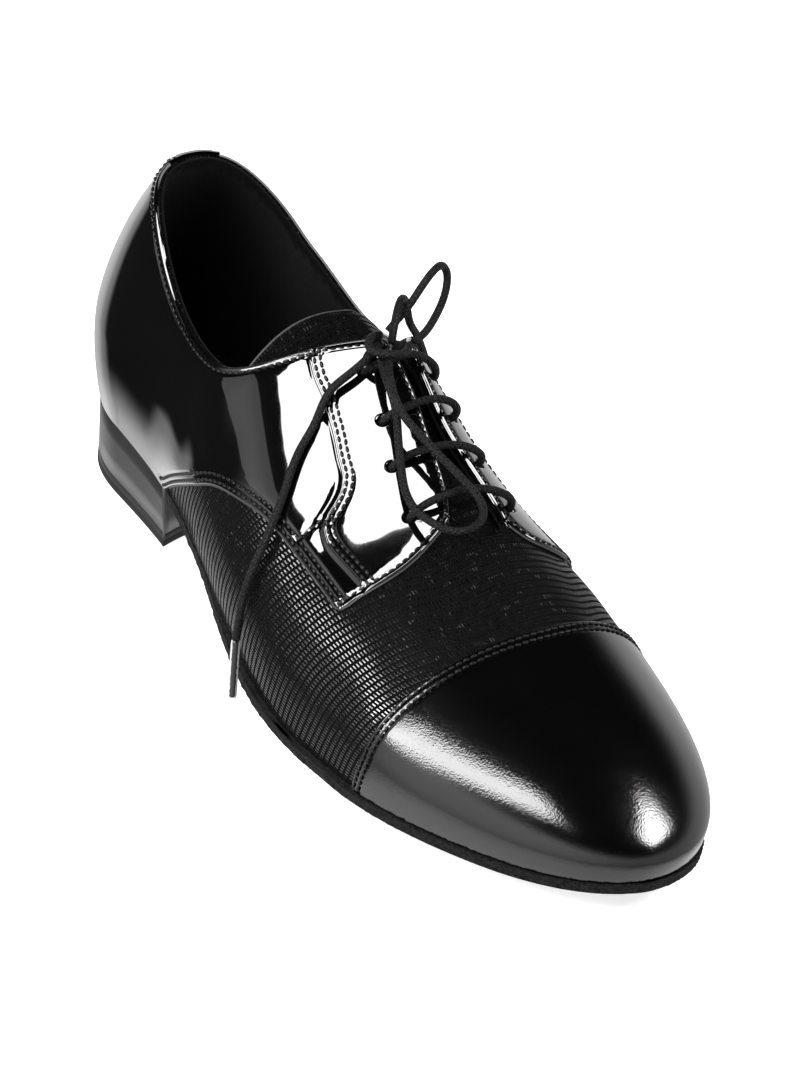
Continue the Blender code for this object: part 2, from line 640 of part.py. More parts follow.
def breast_points(left, right, count, gap=0.0):
    """The hollow front face of the heel, from the medial corner to the lateral one."""
    rows = []
    for i in range(1, count):
        t = i / count
        x = right[0] + (left[0] - right[0]) * t
        s = BREAST_S - BREAST_HOLLOW * (1 - (2 * t - 1) ** 2) + gap
        rows.append((x, s))
    return np.array(rows)


def fill_plan(outline):
    """Triangles over a plan outline with a few points inside it."""
    low = outline.min(0)
    high = outline.max(0)
    grid = []
    for y in np.arange(low[1] + PLATE_STEP / 2, high[1], PLATE_STEP):
        for x in np.arange(low[0] + PLATE_STEP / 2, high[0], PLATE_STEP * 1.4):
            spot = np.array([x, y])
            if inside(spot[None], outline)[0] and np.linalg.norm(outline - spot, axis=1).min() > PLATE_STEP / 2:
                grid.append(spot)
    points = np.concatenate([outline, np.array(grid)]) if grid else outline
    count = len(outline)
    edges = [(i, (i + 1) % count) for i in range(count)]
    result = delaunay_2d_cdt([Vector(p) for p in points], edges, [], 0, WELD)
    plan = np.array([tuple(p) for p in result[0]])
    faces = np.array(result[2])
    faces = faces[inside(plan[faces].mean(1), outline)]
    return plan, faces


def plate(name, outline, top, bottom, look, move=None):
    """A solid over a plan outline between two heights that depend on the place along the shoe."""
    plan, faces = fill_plan(outline)
    upper = np.column_stack([plan, top(plan[:, 1])])
    lower_plan = move(plan) if move else plan
    lower = np.column_stack([lower_plan, bottom(plan[:, 1])])
    up = np.tile([0.0, 0.0, 1.0], (len(plan), 1))
    return two_skins(name, upper, lower, outward(upper, faces, up), look)


def outsole_margin(places):
    t = np.clip((np.asarray(places, float) - WAIST_A) / (FORE_A - WAIST_A), 0, 1)
    return OUTSOLE_EDGE_WAIST + (OUTSOLE_EDGE_FORE - OUTSOLE_EDGE_WAIST) * t * t * (3 - 2 * t)


def make_outsole():
    places = [QUARTER_START] + [a for a in columns() if a > QUARTER_START + 2]
    near = edge_points(LATERAL, places, outsole_margin(places))
    far = edge_points(MEDIAL, places, outsole_margin(places))[::-1][1:]
    breast = breast_points(near[0], far[-1], 8, SOLE_GAP)
    near[0, 1] = BREAST_S + SOLE_GAP
    far[-1, 1] = BREAST_S + SOLE_GAP
    outline = np.concatenate([near, far, breast])
    return plate("outsole", outline, lambda s: seat(s) - SOLE_GAP,
                 lambda s: np.maximum(seat(s) - SOLE_GAP - OUTSOLE, 0.0), "sole")


def make_insole():
    places = columns()
    near = edge_points(LATERAL, places, np.full(len(places), -WALL - 0.5))
    far = edge_points(MEDIAL, places, np.full(len(places), -WALL - 0.5))[::-1][1:-1]
    outline = np.concatenate([near, far])
    return plate("insole", outline, lambda s: seat(s) + 0.2 + INSOLE, lambda s: seat(s) + 0.2, "vamp")


def heel_outline(margin):
    places = [a for a in columns() if a < QUARTER_START - 2] + [QUARTER_START]
    near = edge_points(LATERAL, places, np.full(len(places), margin))
    far = edge_points(MEDIAL, places, np.full(len(places), margin))[1:]
    near[-1, 1] = BREAST_S
    far[-1, 1] = BREAST_S
    breast = breast_points(far[-1], near[-1], 8)
    return np.concatenate([near, breast, far[::-1]])


def heel_foot(plan):
    return np.column_stack([plan[:, 0] * HEEL_TAPER, plan[:, 1] + HEEL_FORWARD])


def make_heel():
    outline = heel_outline(HEEL_MARGIN)
    plate("heel_block", outline, lambda s: seat(s) - GAP, lambda s: np.full(len(s), LIFT + GAP), "heel", heel_foot)
    plate("heel_lift", heel_foot(outline), lambda s: np.full(len(s), LIFT), lambda s: np.zeros(len(s)), "rubber")


def tongue_point(a, side, v):
    """The tongue lies under the facings, flatter than they are and deeper towards its top."""
    spot = last_point(a, float(side), v)
    ridge = last_point(min(a, TOE_START), float(side), 1.0)[2]
    depth = float(TONGUE_TABLE["depth"](a))
    z = ridge - depth - TONGUE_FOLLOW * (ridge - spot[2])
    return np.array([spot[0], spot[1], z])


def make_tongue():
    """Rows from its curved top edge to its root, each from the lateral to the medial edge."""
    final = TONGUE_ROWS[-1][0]
    top = spline([row[0] for row in TONGUE_TOP], [row[1] for row in TONGUE_TOP])
    wide = 2 * TONGUE_STEPS + 1
    count = 14
    rows = []
    for i in range(count):
        for j in range(wide):
            start = float(top(j / (wide - 1)))
            a = start + (final - start) * i / (count - 1)
            side = LATERAL if j <= TONGUE_STEPS else MEDIAL
            low = float(TONGUE_TABLE["lateral" if side == LATERAL else "medial"](a))
            share = abs(j - TONGUE_STEPS) / TONGUE_STEPS
            rows.append(tongue_point(a, side, 1 - (1 - low) * share))
    outer = np.array(rows)
    faces = []
    for i in range(count - 1):
        for j in range(wide - 1):
            k = i * wide + j
            faces.append((k, k + 1, k + wide + 1))
            faces.append((k, k + wide + 1, k + wide))
    up = np.tile([0.0, 0.0, 1.0], (len(outer), 1))
    inner = outer - np.array([0.0, 0.0, TONGUE])
    two_skins("tongue", outer, inner, outward(outer, np.array(faces), up), "vamp")


def cord(name, route, radius, look, step=CORD_STEP):
    """A round cord along a smooth line through its route."""
    line = place(smooth(route, step))
    curve = bpy.data.curves.new(name, "CURVE")
    curve.dimensions = "3D"
    run = curve.splines.new("POLY")
    run.points.add(len(line) - 1)
    for point, spot in zip(run.points, line):
        point.co = (*spot, 1.0)
    curve.bevel_depth = radius * MM
    curve.bevel_resolution = 2
    curve.use_fill_caps = True
    curve.materials.append(material(look))
    item = bpy.data.objects.new(name, curve)
    bpy.context.collection.objects.link(item)
    return item


def bar_route(rows):
    rows = np.asarray(rows, float)
    spot = last_point(rows[:, 1], rows[:, 0], rows[:, 2])
    normal = last_normal(rows[:, 1], rows[:, 0], rows[:, 2])
    return spot + normal * rows[:, 3:4]


def make_laces():
    for name, rows in LACE_BARS.items():
        cord(name, bar_route(rows), LACE_RADIUS, "lace")
    cord("lace_knot", KNOT_ROUTE, LACE_RADIUS, "lace", 1.5)
    for name, route in LACE_ROUTES.items():
        cord(name, route, LACE_RADIUS, "lace")
    for name, route in AGLETS.items():
        cord(name, route, AGLET_RADIUS, "clear")


def make_upper():
    pattern = Pattern()
    every = np.ones(len(pattern.faces), bool)
    panel("upper", pattern, every, -WALL, 0.0, "vamp")
    panel("toe_cap", pattern, pattern.cap_region(), GAP, GAP + PANEL, "cap")
    low = GAP
    high = GAP + PANEL
    panel("quarter_lateral", pattern, pattern.quarter_region(LATERAL), low, high, "patent", -GAP / 2)
    panel("quarter_medial", pattern, pattern.quarter_region(MEDIAL), low, high, "patent", GAP / 2)
    panel("back_tab", pattern, pattern.tab_region(), high + GAP, high + GAP + PANEL, "patent")


clear_scene()
make_upper()
make_tongue()
make_insole()
make_outsole()
make_heel()
make_laces()
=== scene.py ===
"""Looks of a laced dance shoe for the right foot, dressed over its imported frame."""

import math

import bpy
import numpy as np
from mathutils import Matrix, Quaternion, Vector, kdtree, noise
from mathutils.geometry import delaunay_2d_cdt


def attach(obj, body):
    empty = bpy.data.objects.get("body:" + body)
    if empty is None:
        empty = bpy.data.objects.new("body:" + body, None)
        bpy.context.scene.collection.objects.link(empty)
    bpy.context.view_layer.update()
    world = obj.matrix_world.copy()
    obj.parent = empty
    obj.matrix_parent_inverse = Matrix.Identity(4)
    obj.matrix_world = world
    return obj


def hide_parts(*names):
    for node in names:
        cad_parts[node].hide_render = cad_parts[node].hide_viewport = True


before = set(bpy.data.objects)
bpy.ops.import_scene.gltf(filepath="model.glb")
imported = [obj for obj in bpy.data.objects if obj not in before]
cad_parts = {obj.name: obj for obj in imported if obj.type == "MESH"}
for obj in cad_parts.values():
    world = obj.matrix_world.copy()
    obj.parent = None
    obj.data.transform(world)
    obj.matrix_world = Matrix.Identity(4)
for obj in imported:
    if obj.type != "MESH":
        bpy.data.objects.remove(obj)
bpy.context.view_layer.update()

# All tables are in millimetres and degrees, apart from the lamps.
MM = 0.001
CM = 10.0
LATERAL = -1
MEDIAL = 1
SIDES = (LATERAL, MEDIAL)

# Where the frame's origin lies on the last: across, and along from the heel.
ORIGIN_X = -0.62
ORIGIN_S = 142.15

# Plan of the last. s runs from the heel back to the toe tip.
HEEL_CENTRE = 38.0
HEEL_REACH = 36.0
HEEL_BULGE_REACH = 42.0
HEEL_POWER = 2.15
TOE_CENTRE = 200.0
TOE_REACH = 87.5
TOE_BULGE_REACH = 88.3
TOE_POWERS = {LATERAL: (1.9, 1.72), MEDIAL: (2.2, 2.0)}

# A place on the last: a along its edge (heel back, side, toe tip), v up its girth.
QUARTER_TURN = 90.0
TOE_START = QUARTER_TURN + TOE_CENTRE - HEEL_CENTRE
TOE_TIP = TOE_START + QUARTER_TURN
BULGE_V = 0.30
RIDGE_V = 0.985
LEVEL_V = 0.02
FLAT_GIRTH = 85.0
# How near the ends of a and v a direction is taken, and the step for its slope.
SMALL = 1e-3
LOWEST_V = 0.002
END_A = 0.01
MIDDLE_A = 0.02
TINY = 1e-12

WIDTH_COLUMNS = (
    "s", "lateral", "medial", "bulge_lateral", "bulge_medial", "round_lateral", "round_medial", "ridge",
)
WIDTH_ROWS = (
    (38, 31.0, 28.5, 3.0, 3.0, 1.60, 1.60, 1.0),
    (66, 32.0, 29.0, 3.5, 3.5, 1.68, 1.62, 5.5),
    (90, 35.0, 27.5, 5.0, 6.5, 1.70, 1.58, 8.5),
    (120, 41.0, 28.5, 5.0, 8.5, 1.70, 1.52, 10.0),
    (150, 46.5, 34.5, 3.5, 6.5, 1.68, 1.52, 9.5),
    (175, 48.8, 42.5, 2.0, 3.5, 1.75, 1.62, 8.0),
    (200, 48.0, 46.5, 1.2, 1.5, 1.92, 1.92, 5.0),
)
HEIGHT_COLUMNS = ("s", "swing", "feather", "bulge", "ridge_top")
HEIGHT_ROWS = (
    (38, 0.0, 24.5, 52.0, 126.0),
    (66, 0.0, 22.0, 49.5, 119.5),
    (90, 0.0, 17.0, 45.0, 109.0),
    (120, 0.0, 9.8, 38.0, 93.5),
    (150, 0.0, 4.3, 30.0, 79.0),
    (175, 0.0, 3.3, 24.0, 70.0),
    (200, 0.5, 4.6, 20.0, 62.0),
    (225, 1.5, 7.0, 18.8, 54.5),
    (250, 3.0, 9.5, 18.5, 50.0),
    (270, 4.0, 11.4, 19.0, 46.0),
    (288, 4.5, 13.9, 20.0, 39.0),
)

# Pattern lines, rows of (a, v) on each side. The topline runs from the lateral front corner around the back.
TOPLINE = {
    LATERAL: ((169, 0.965), (166, 0.880), (161, 0.779), (157, 0.711), (150, 0.626), (143, 0.573),
              (131, 0.532), (116, 0.523), (102, 0.553), (91, 0.597), (69, 0.645), (45, 0.665),
              (24, 0.673), (0, 0.675)),
    MEDIAL: ((24, 0.668), (45, 0.645), (69, 0.600), (91, 0.550), (102, 0.530), (116, 0.510), (131, 0.520),
             (143, 0.570), (150, 0.620), (157, 0.700), (163, 0.780), (169, 0.860)),
}
BACK_ROWS = 30
FACING = {
    LATERAL: ((169, 0.965), (179, 0.978), (190, 0.972), (200, 0.957), (210, 0.942), (220, 0.924),
              (228, 0.900)),
    MEDIAL: ((169, 0.860), (185, 0.900), (198, 0.925), (210, 0.908), (222, 0.897), (233, 0.905)),
}
# The throat's rounded end, rows of (side, a, v).
THROAT_END = ((LATERAL, 228, 0.900), (LATERAL, 235, 0.930), (MEDIAL, 237, 0.985), (MEDIAL, 233, 0.905))
QUARTER_START = 122.0
QUARTER_EDGE = {
    LATERAL: ((122, 0.0), (130, 0.09), (148, 0.272), (161, 0.387), (177, 0.469), (188, 0.512), (204, 0.544),
              (222, 0.561), (231, 0.564)),
    MEDIAL: ((122, 0.0), (130, 0.09), (148, 0.272), (161, 0.387), (177, 0.469), (190, 0.512), (207, 0.548),
             (226, 0.570), (237, 0.580)),
}
QUARTER_FRONT = {
    LATERAL: ((231, 0.564), (234, 0.668), (235, 0.754), (232, 0.840), (228, 0.900)),
    MEDIAL: ((237, 0.580), (240, 0.680), (241, 0.770), (239, 0.850), (233, 0.905)),
}
# Seam of the lace stay: from the topline down, then a leg to the quarter's edge and a branch to its front.
STAY_SEAM = {
    LATERAL: ((161.5, 0.770), (169, 0.757), (174, 0.757), (181, 0.751), (188, 0.742), (194, 0.731),
              (199, 0.722), (202, 0.703), (204, 0.673), (205.5, 0.640)),
    MEDIAL: ((161.5, 0.745), (169, 0.715), (174, 0.712), (181, 0.705), (188, 0.700), (194, 0.695),
             (200, 0.690), (205, 0.680), (208, 0.664), (210, 0.640)),
}
STAY_LEG = {
    LATERAL: ((205.5, 0.640), (205, 0.600), (204, 0.560)),
    MEDIAL: ((210, 0.640), (210, 0.600), (209, 0.562)),
}
STAY_BRANCH = {
    LATERAL: ((205.5, 0.640), (211, 0.628), (219, 0.634), (232.5, 0.652)),
    MEDIAL: ((210, 0.640), (215, 0.632), (223, 0.640), (238, 0.662)),
}
# Corners of the lace stay's outline beyond the quarter's own edges.
STAY_BEYOND = ((244, 0.66), (246, 0.97), (160, 0.99), (158, 0.80))
EYELETS = {
    LATERAL: ((175.6, 0.869), (190.8, 0.858), (204.5, 0.830), (221.6, 0.813)),
    MEDIAL: ((177.0, 0.775), (193.0, 0.825), (210.0, 0.840), (227.0, 0.835)),
}
EYELET_RADIUS = 1.75
EYELET_SIDES = 20
CAP_S = 208.0
CAP_RISE = 11.5
CAP_STEPS = 50
CAP_TOP_RANGE = (0.5, 0.99)
HALVINGS = 40
TAB_A = 24.0
TAB_V = 0.565
TAB_STEP = 1.0
TAB_CLEAR = 0.5
# Half of the back tab's lower edge, from its corner to the back.
TAB_EDGE = ((TAB_A, 0.62), (21.5, 0.592), (15.0, 0.572))

# Heights over the last, then folded and cut edges.
WALL = 2.0
SKIN = 0.9
PANEL_LOW = 0.04
PANEL_TOP = 1.2
TAB_LOW = 1.22
TAB_TOP = 2.2
STAY_STEP = 0.4
ROLL = 0.8
ROLL_ROWS = (0.10, 0.28, 0.55, 0.95, 1.6)
EDGE_RADIUS = 0.3
EDGE_HEIGHT = 0.55
EDGE_SIDES = 8
EDGE_STEP = 1.2
EDGE_START = 4
BACK_GAP = 0.15
LINING_GAP = 0.05

# Relief of a leather piece: grooves, holes, the raised stay, and where unevenness starts to show.
GROOVE = 0.26
GROOVE_WIDTH = 0.85
GROOVE_ROWS = (GROOVE_WIDTH, 1.6)
HOLE_ROWS = (0.35, 0.8)
HOLE_LOW = 0.55
HOLE_ROLL = 0.5
GUTTER = 0.42
GUTTER_AWAY = 1.8
GUTTER_WIDTH = 1.2
STEP_RUN = 0.8
STEP_ROWS = (0.0, 0.25, 0.5, 0.9, 1.35, 1.8, 2.3, 2.9, 3.6)
WAVE_FADE = 6.0
CREASE_FADE = 8.0
CAP_UNEVEN = 0.5
TAB_UNEVEN = 0.2
THINNEST = 0.05
LEAST_RISE = 0.02
STEEPEST = 4.0
PROBE = 0.04
SKEW = (0.31, 0.57, 0.76)
# Unevenness of stretched leather: a height, then two waves as (across, along, up, start).
WAVES = (
    (0.08, (0.0, 0.115, 0.06, 0.4), (0.0, -0.05, 0.09, 1.1)),
    (0.02, (0.08, 0.21, -0.13, 2.0), (0.0, 0.07, 0.17, 0.0)),
)

# Grain of the vamp: the radius it wraps around, the height of that axis, the slant of its rows.
GRAIN_RADIUS = 44.0
GRAIN_AXIS = 0.3
GRAIN_SLANT = 0.45
GRAIN_FLAT = 22.0
DASH_ROW = 0.242
DASH_COLUMN = 0.092

# Fineness of the meshes.
FINE = 2.0
VAMP_SPACING = 2.6
TAB_SPACING = 1.6
LINE_STEP = 1.6
FEATHER_STEP = 1.5
ROW_CLEAR = 0.06
LATTICE_RISE = 0.866
LATTICE_CLEAR = 0.62
WELD = 1e-5
ON_MIDDLE = 1e-6
CHUNK = 800
SHIFT_PROBE = 0.05
LEAST_STRETCH = 0.2

# Thread: pitch, half sizes and turns of its beads, then how far each row lies from its edge.
STITCH_PITCH = 2.45
STITCH_HALF = (1.08, 0.5, 0.42)
STITCH_TILTS = (-0.02, 0.14)
STITCH_PROBE = 0.5
BEAD_SIDES = 6
BEAD_RINGS = 5
TOPLINE_ROW = 2.1
EDGE_ROWS = (1.5, 3.5)
LEG_ROW = 0.9
FRONT_ROW = 1.7
FACING_ROW = 1.4
SEAM_ROWS = (1.2, 3.1)
CAP_ROWS = (1.4, 3.3)
CAP_THREAD = 0.05
TAB_ROW = 1.5

# Soft troughs in the quarters, and ridges where the depth is below zero: side, start a and v, end a and v,
# depth, width.
CREASES = (
    (LATERAL, 126, 0.54, 144, 0.30, 0.30, 7.0),
    (LATERAL, 142, 0.54, 160, 0.40, -0.25, 7.0),
    (LATERAL, 92, 0.60, 108, 0.26, 0.18, 9.0),
    (MEDIAL, 126, 0.52, 144, 0.30, 0.28, 7.0),
    (MEDIAL, 142, 0.54, 160, 0.40, -0.24, 7.0),
)

# Tongue.
TONGUE_COLUMNS = ("a", "lateral", "medial", "depth")
TONGUE_ROWS = (
    (143, 0.655, 0.680, 14.2), (146, 0.655, 0.690, 14.0), (150, 0.660, 0.700, 12.8),
    (158, 0.690, 0.740, 10.5), (170, 0.72, 0.78, 8.5), (185, 0.73, 0.80, 6.6), (200, 0.75, 0.82, 5.8),
    (217, 0.77, 0.83, 5.0), (232, 0.80, 0.84, 4.0), (242, 0.82, 0.86, 3.5),
)
# The tongue's top edge: share of its width from the lateral side, and a.
TONGUE_TOP = ((0.0, 144.5), (0.18, 143.4), (0.30, 144.2), (0.50, 147.6), (0.73, 150.0), (1.0, 152.5))
TONGUE_FOLLOW = 0.8
TONGUE = 1.8
TONGUE_STEPS = 16
TONGUE_LINES = 50
TONGUE_RIM = 0.5
TONGUE_RIM_PLACE = (0.0, -0.1, -0.45)

# Sole and heel.
SOLE_GAP = 0.42
OUTSOLE = 3.2
INSOLE = 2.0
GAP = 0.3
BREAST_S = 70.0
BREAST_HOLLOW = 6.0
HEEL_MARGIN = 1.0
HEEL_TAPER = 0.955
HEEL_FORWARD = 0.9
LIFT = 4.6
LIFT_PAINT = 2.7
PAINT_EDGE = 0.1
OUTSOLE_EDGE_WAIST = 0.3
OUTSOLE_EDGE_FORE = 2.0
WAIST_A = 150.0
FORE_A = 190.0
SOLE_OVERLAP = 0.25
SOLE_RIM = 0.45
SOLE_FRAY = 0.45
INSOLE_RISE = 0.2
INSOLE_INSET = 0.5
HEEL_OVERLAP = 0.2
HEEL_RIM = 0.4
LIFT_GAP = 0.05
LIFT_RIM = 0.35
BREAST_STEPS = 24
# Plates: rows of their walls, how far a rim turns in and down, points inside.
WALL_LEVELS = (0.0, 0.35, 0.5, 0.65, 1.0)
FRAYED_LEVELS = tuple(k / 8 for k in range(9))
RIM_OUT = 0.3
RIM_ROUND = 0.7
PLATE_ROW = 2.5
PLATE_SPACING = 6.0
# Fray of cut suede, coarse and fine, as (height, fineness).
FRAY = ((0.6, 0.5), (0.6, 1.7))

# Laces.
LACE_RADIUS = 1.25
AGLET_RADIUS = 1.42
AGLET_NARROW = 0.07
AGLET_ENDS = 12.0
AGLET_SIDES = 16
AGLET_STEP = 0.5
CORD_SIDES = 12
CORD_STEP = 1.1
KNOT_STEP = 0.6
BAR_STEP = 0.9
CORD_SKEW = (0.3, 0.5, 0.8)
# Bars over the throat: rows of (a, v, height), four from the lateral eyelet and five to the medial one.
BAR_SIDES = (LATERAL,) * 4 + (MEDIAL,) * 5
LACE_BARS = {
    "lace_bar_top": (
        (175.6, 0.869, -3.4), (175.6, 0.869, 0.4), (175.8, 0.888, 2.5), (176, 0.94, 2.9),
        (176, 0.985, 2.9), (176.5, 0.88, 3.8), (177, 0.806, 3.5), (177, 0.776, 1.4), (177, 0.773, -3.4),
    ),
    "lace_bar_upper": (
        (190.8, 0.858, -3.4), (190.8, 0.858, 0.4), (190.9, 0.875, 2.6), (191, 0.93, 3.6),
        (191.5, 0.985, 4.4), (192.4, 0.905, 5.4), (193, 0.852, 4.4), (193, 0.827, 1.4), (193, 0.823, -3.4),
    ),
    "lace_bar_middle": (
        (204.5, 0.830, -3.4), (204.5, 0.830, 0.4), (204.7, 0.848, 2.8), (205.5, 0.91, 4.2),
        (207, 0.985, 3.8), (208.5, 0.915, 4.6), (210, 0.866, 4.2), (210, 0.842, 1.4), (210, 0.838, -3.4),
    ),
    "lace_bar_lower": (
        (221.6, 0.813, -3.4), (221.6, 0.813, 0.4), (221.8, 0.832, 3.0), (222.5, 0.90, 5.2),
        (224, 0.985, 5.0), (225.5, 0.91, 5.2), (227, 0.862, 4.4), (227, 0.837, 1.4), (227, 0.833, -3.4),
    ),
}
# Free lace runs as rows of (across, along, up) on the last.
LACE_ROUTES = {
    "lace_loop_hanging": (
        (2.3, 124.6, 95.4), (-0.1, 127.2, 95.2), (-1.6, 131.2, 94.0), (-2.9, 136.3, 92.4),
        (-3.6, 140.6, 90.1), (-4.5, 144.1, 88.2), (-6.3, 148.6, 85.4), (-8.6, 153.8, 82.3),
        (-10.7, 159.1, 79.3), (-12.7, 164.2, 76.9), (-14.1, 169.4, 75.2), (-14.2, 174.0, 74.0),
        (-13.3, 178.5, 73.4), (-11.4, 183.0, 73.0), (-8.6, 186.4, 72.8), (-5.0, 188.1, 73.3),
        (-1.1, 187.7, 74.2), (2.0, 185.5, 75.4), (3.4, 182.3, 76.6), (3.4, 178.4, 78.1),
        (2.6, 174.0, 79.4), (1.4, 168.4, 81.2), (-0.3, 162.7, 83.0), (-1.6, 158.3, 84.7),
        (-3.0, 153.9, 86.6), (-4.3, 149.9, 88.5), (-4.9, 146.4, 90.5), (-4.8, 142.5, 92.6),
        (-3.5, 138.2, 94.3), (-1.5, 133.5, 95.3), (0.9, 129.3, 95.9), (3.4, 125.8, 96.1),
    ),
    "lace_loop_upright": (
        (5.5, 120.5, 100.3), (7.5, 120.5, 102.6), (9.9, 120.4, 105.3), (12.5, 120.4, 108.7),
        (15.5, 120.1, 113.1), (18.8, 119.4, 116.7), (22.0, 118.1, 118.0), (24.9, 116.6, 117.0),
        (27.0, 116.3, 114.2), (26.8, 117.6, 110.1), (24.6, 119.7, 106.5), (21.1, 122.1, 103.3),
        (17.5, 124.1, 100.8), (14.3, 125.1, 99.1), (12.0, 125.0, 98.1),
    ),
    "lace_end_lateral": (
        (1.9, 122.4, 97.6), (-2.0, 124.6, 96.4), (-6.3, 125.6, 94.0), (-10.5, 125.8, 91.3),
        (-15.9, 125.8, 87.2), (-23.0, 129.7, 78.9), (-28.9, 132.6, 73.1), (-36.3, 138.3, 64.1),
        (-43.1, 143.2, 54.5), (-48.0, 145.6, 46.3), (-51.5, 146.8, 37.1), (-53.4, 148.3, 27.7),
        (-54.4, 149.6, 21.6),
    ),
    "lace_end_medial": (
        (3.7, 125.7, 99.5), (4.2, 125.0, 102.8), (5.6, 123.3, 106.1), (7.8, 120.8, 108.8),
        (10.5, 118.1, 109.1), (13.1, 116.1, 107.4), (15.0, 115.3, 103.8), (16.6, 115.2, 98.9),
        (21.3, 112.9, 92.3), (26.4, 111.4, 83.6), (31.4, 110.2, 72.9), (35.3, 109.5, 61.0),
        (37.4, 108.9, 51.7),
    ),
}
AGLETS = {
    "aglet_lateral": ((-54.40, 149.60, 21.6), (-55.4, 152.0, 13.4), (-56.5, 154.7, 4.7)),
    "aglet_medial": ((37.60, 108.85, 51.1), (38.9, 108.8, 44.4), (39.2, 108.7, 37.0)),
}
# The bow's turn: a lobe on the lateral side, then across the front of the hanging strands.
KNOT_ROUTE = (
    (3.3, 120.3, 99.3), (1.2, 120.3, 99.5), (-1.6, 121.8, 99.5), (-3.2, 124.0, 98.9), (-3.1, 126.6, 98.5),
    (-1.5, 128.7, 98.7), (0.9, 130.5, 99.0), (3.5, 131.2, 98.8), (6.4, 130.0, 98.6), (9.2, 127.3, 98.7),
)

# Camera: fitted to the photograph's outline.
CAMERA_AZIMUTH = -36.9
CAMERA_ELEVATION = 32.7
CAMERA_ROLL = 8.9
CAMERA_DISTANCE = 1500.0
CAMERA_SHIFT = (3.74, 2.85)
CAMERA_TARGET = (0.62, -1.85, 40.0)
FOCAL_PIXELS = 4965.0
IMAGE_HEIGHT = 1067.0
SENSOR = 36.0
CAMERA_FAR = 20.0

# Light along the horizon by direction, from straight behind towards the right.
HORIZON = (
    (-180, 0.5), (-105, 1.1), (-80, 1.1), (-62, 0.7), (-48, 0.03), (-21, 0.03), (-13, 0.65), (0, 1.15),
    (30, 0.85), (80, 0.6), (140, 0.5), (180, 0.5),
)
# Light by height, from straight down at -1 to straight up at 1, and what the pale ground adds.
SKY = (
    (-1.0, 0.2), (-0.7, 0.25), (-0.55, 0.65), (-0.2, 1.0), (0.16, 1.15), (0.5, 0.05), (0.62, 0.012),
    (1.0, 0.012),
)
GROUND = ((-1.0, 0.95), (-0.66, 0.95), (-0.55, 0.0), (1.0, 0.0))
# Studio lamps: place and aim in metres, width and height, power, turn about the aim.
LAMPS = {
    "key_low": ((-0.501, 0.1085, 0.605), (-0.172, 0.0715, -0.033), (0.29, 0.37), 4.2, 0.0),
    "key_high": ((-0.101, 0.0635, 0.814), (0.228, 0.0255, 0.176), (0.29, 0.56), 6.4, 0.0),
    "glint": ((-0.719, 0.275, 0.327), (-0.042, -0.04, 0.04), (0.25, 0.25), 1.6, 0.0),
    "strip": ((-0.673, -0.057, 0.395), (-0.193, -0.047, -0.105), (0.94, 0.20), 7.5, 48.5),
    "front": ((0.40, -0.50, 0.61), (0.0, -0.14, 0.03), (0.32, 0.22), 4.4, 0.0),
    "side": ((-0.72, 0.50, 0.38), (-0.05, 0.0, 0.07), (0.34, 0.30), 0.17, 0.0),
    "fill": ((0.0, 0.0, 2.4), (0.0, 0.0, 0.0), (3.0, 3.0), 62.0, 0.0),
}
LAMP_WITHOUT_REFLECTION = "fill"
FLOOR_HALF = 14.0


def spline(xs, ys, flat_end=False):
    """A cubic through the rows of a table, straight or level at its far end."""
    xs = np.asarray(xs, float)
    ys = np.asarray(ys, float)
    count = len(xs)
    step = np.diff(xs)
    slope = np.diff(ys) / step
    matrix = np.eye(count)
    right = np.zeros(count)
    for i in range(1, count - 1):
        matrix[i, i - 1:i + 2] = step[i - 1], 2 * (step[i - 1] + step[i]), step[i]
        right[i] = 6 * (slope[i] - slope[i - 1])
    if flat_end:
        matrix[-1, -2:] = step[-1], 2 * step[-1]
        right[-1] = -6 * slope[-1]
    bend = np.linalg.solve(matrix, right)

    def value(x):
        x = np.clip(np.asarray(x, float), xs[0], xs[-1])
        i = np.clip(np.searchsorted(xs, x) - 1, 0, count - 2)
        low = x - xs[i]
        high = xs[i + 1] - x
        curve = (bend[i] * high ** 3 + bend[i + 1] * low ** 3) / (6 * step[i])
        left = (ys[i] / step[i] - bend[i] * step[i] / 6) * high
        return curve + left + (ys[i + 1] / step[i] - bend[i + 1] * step[i] / 6) * low

    return value


def table(columns, rows, flat_end=False):
    """One curve for each named column, over the first column."""
    keys = [row[0] for row in rows]
    return {name: spline(keys, [row[i] for row in rows], flat_end) for i, name in enumerate(columns) if i}


WIDTH = table(WIDTH_COLUMNS, WIDTH_ROWS, True)
HEIGHT = table(HEIGHT_COLUMNS, HEIGHT_ROWS)
TONGUE_TABLE = table(TONGUE_COLUMNS, TONGUE_ROWS)


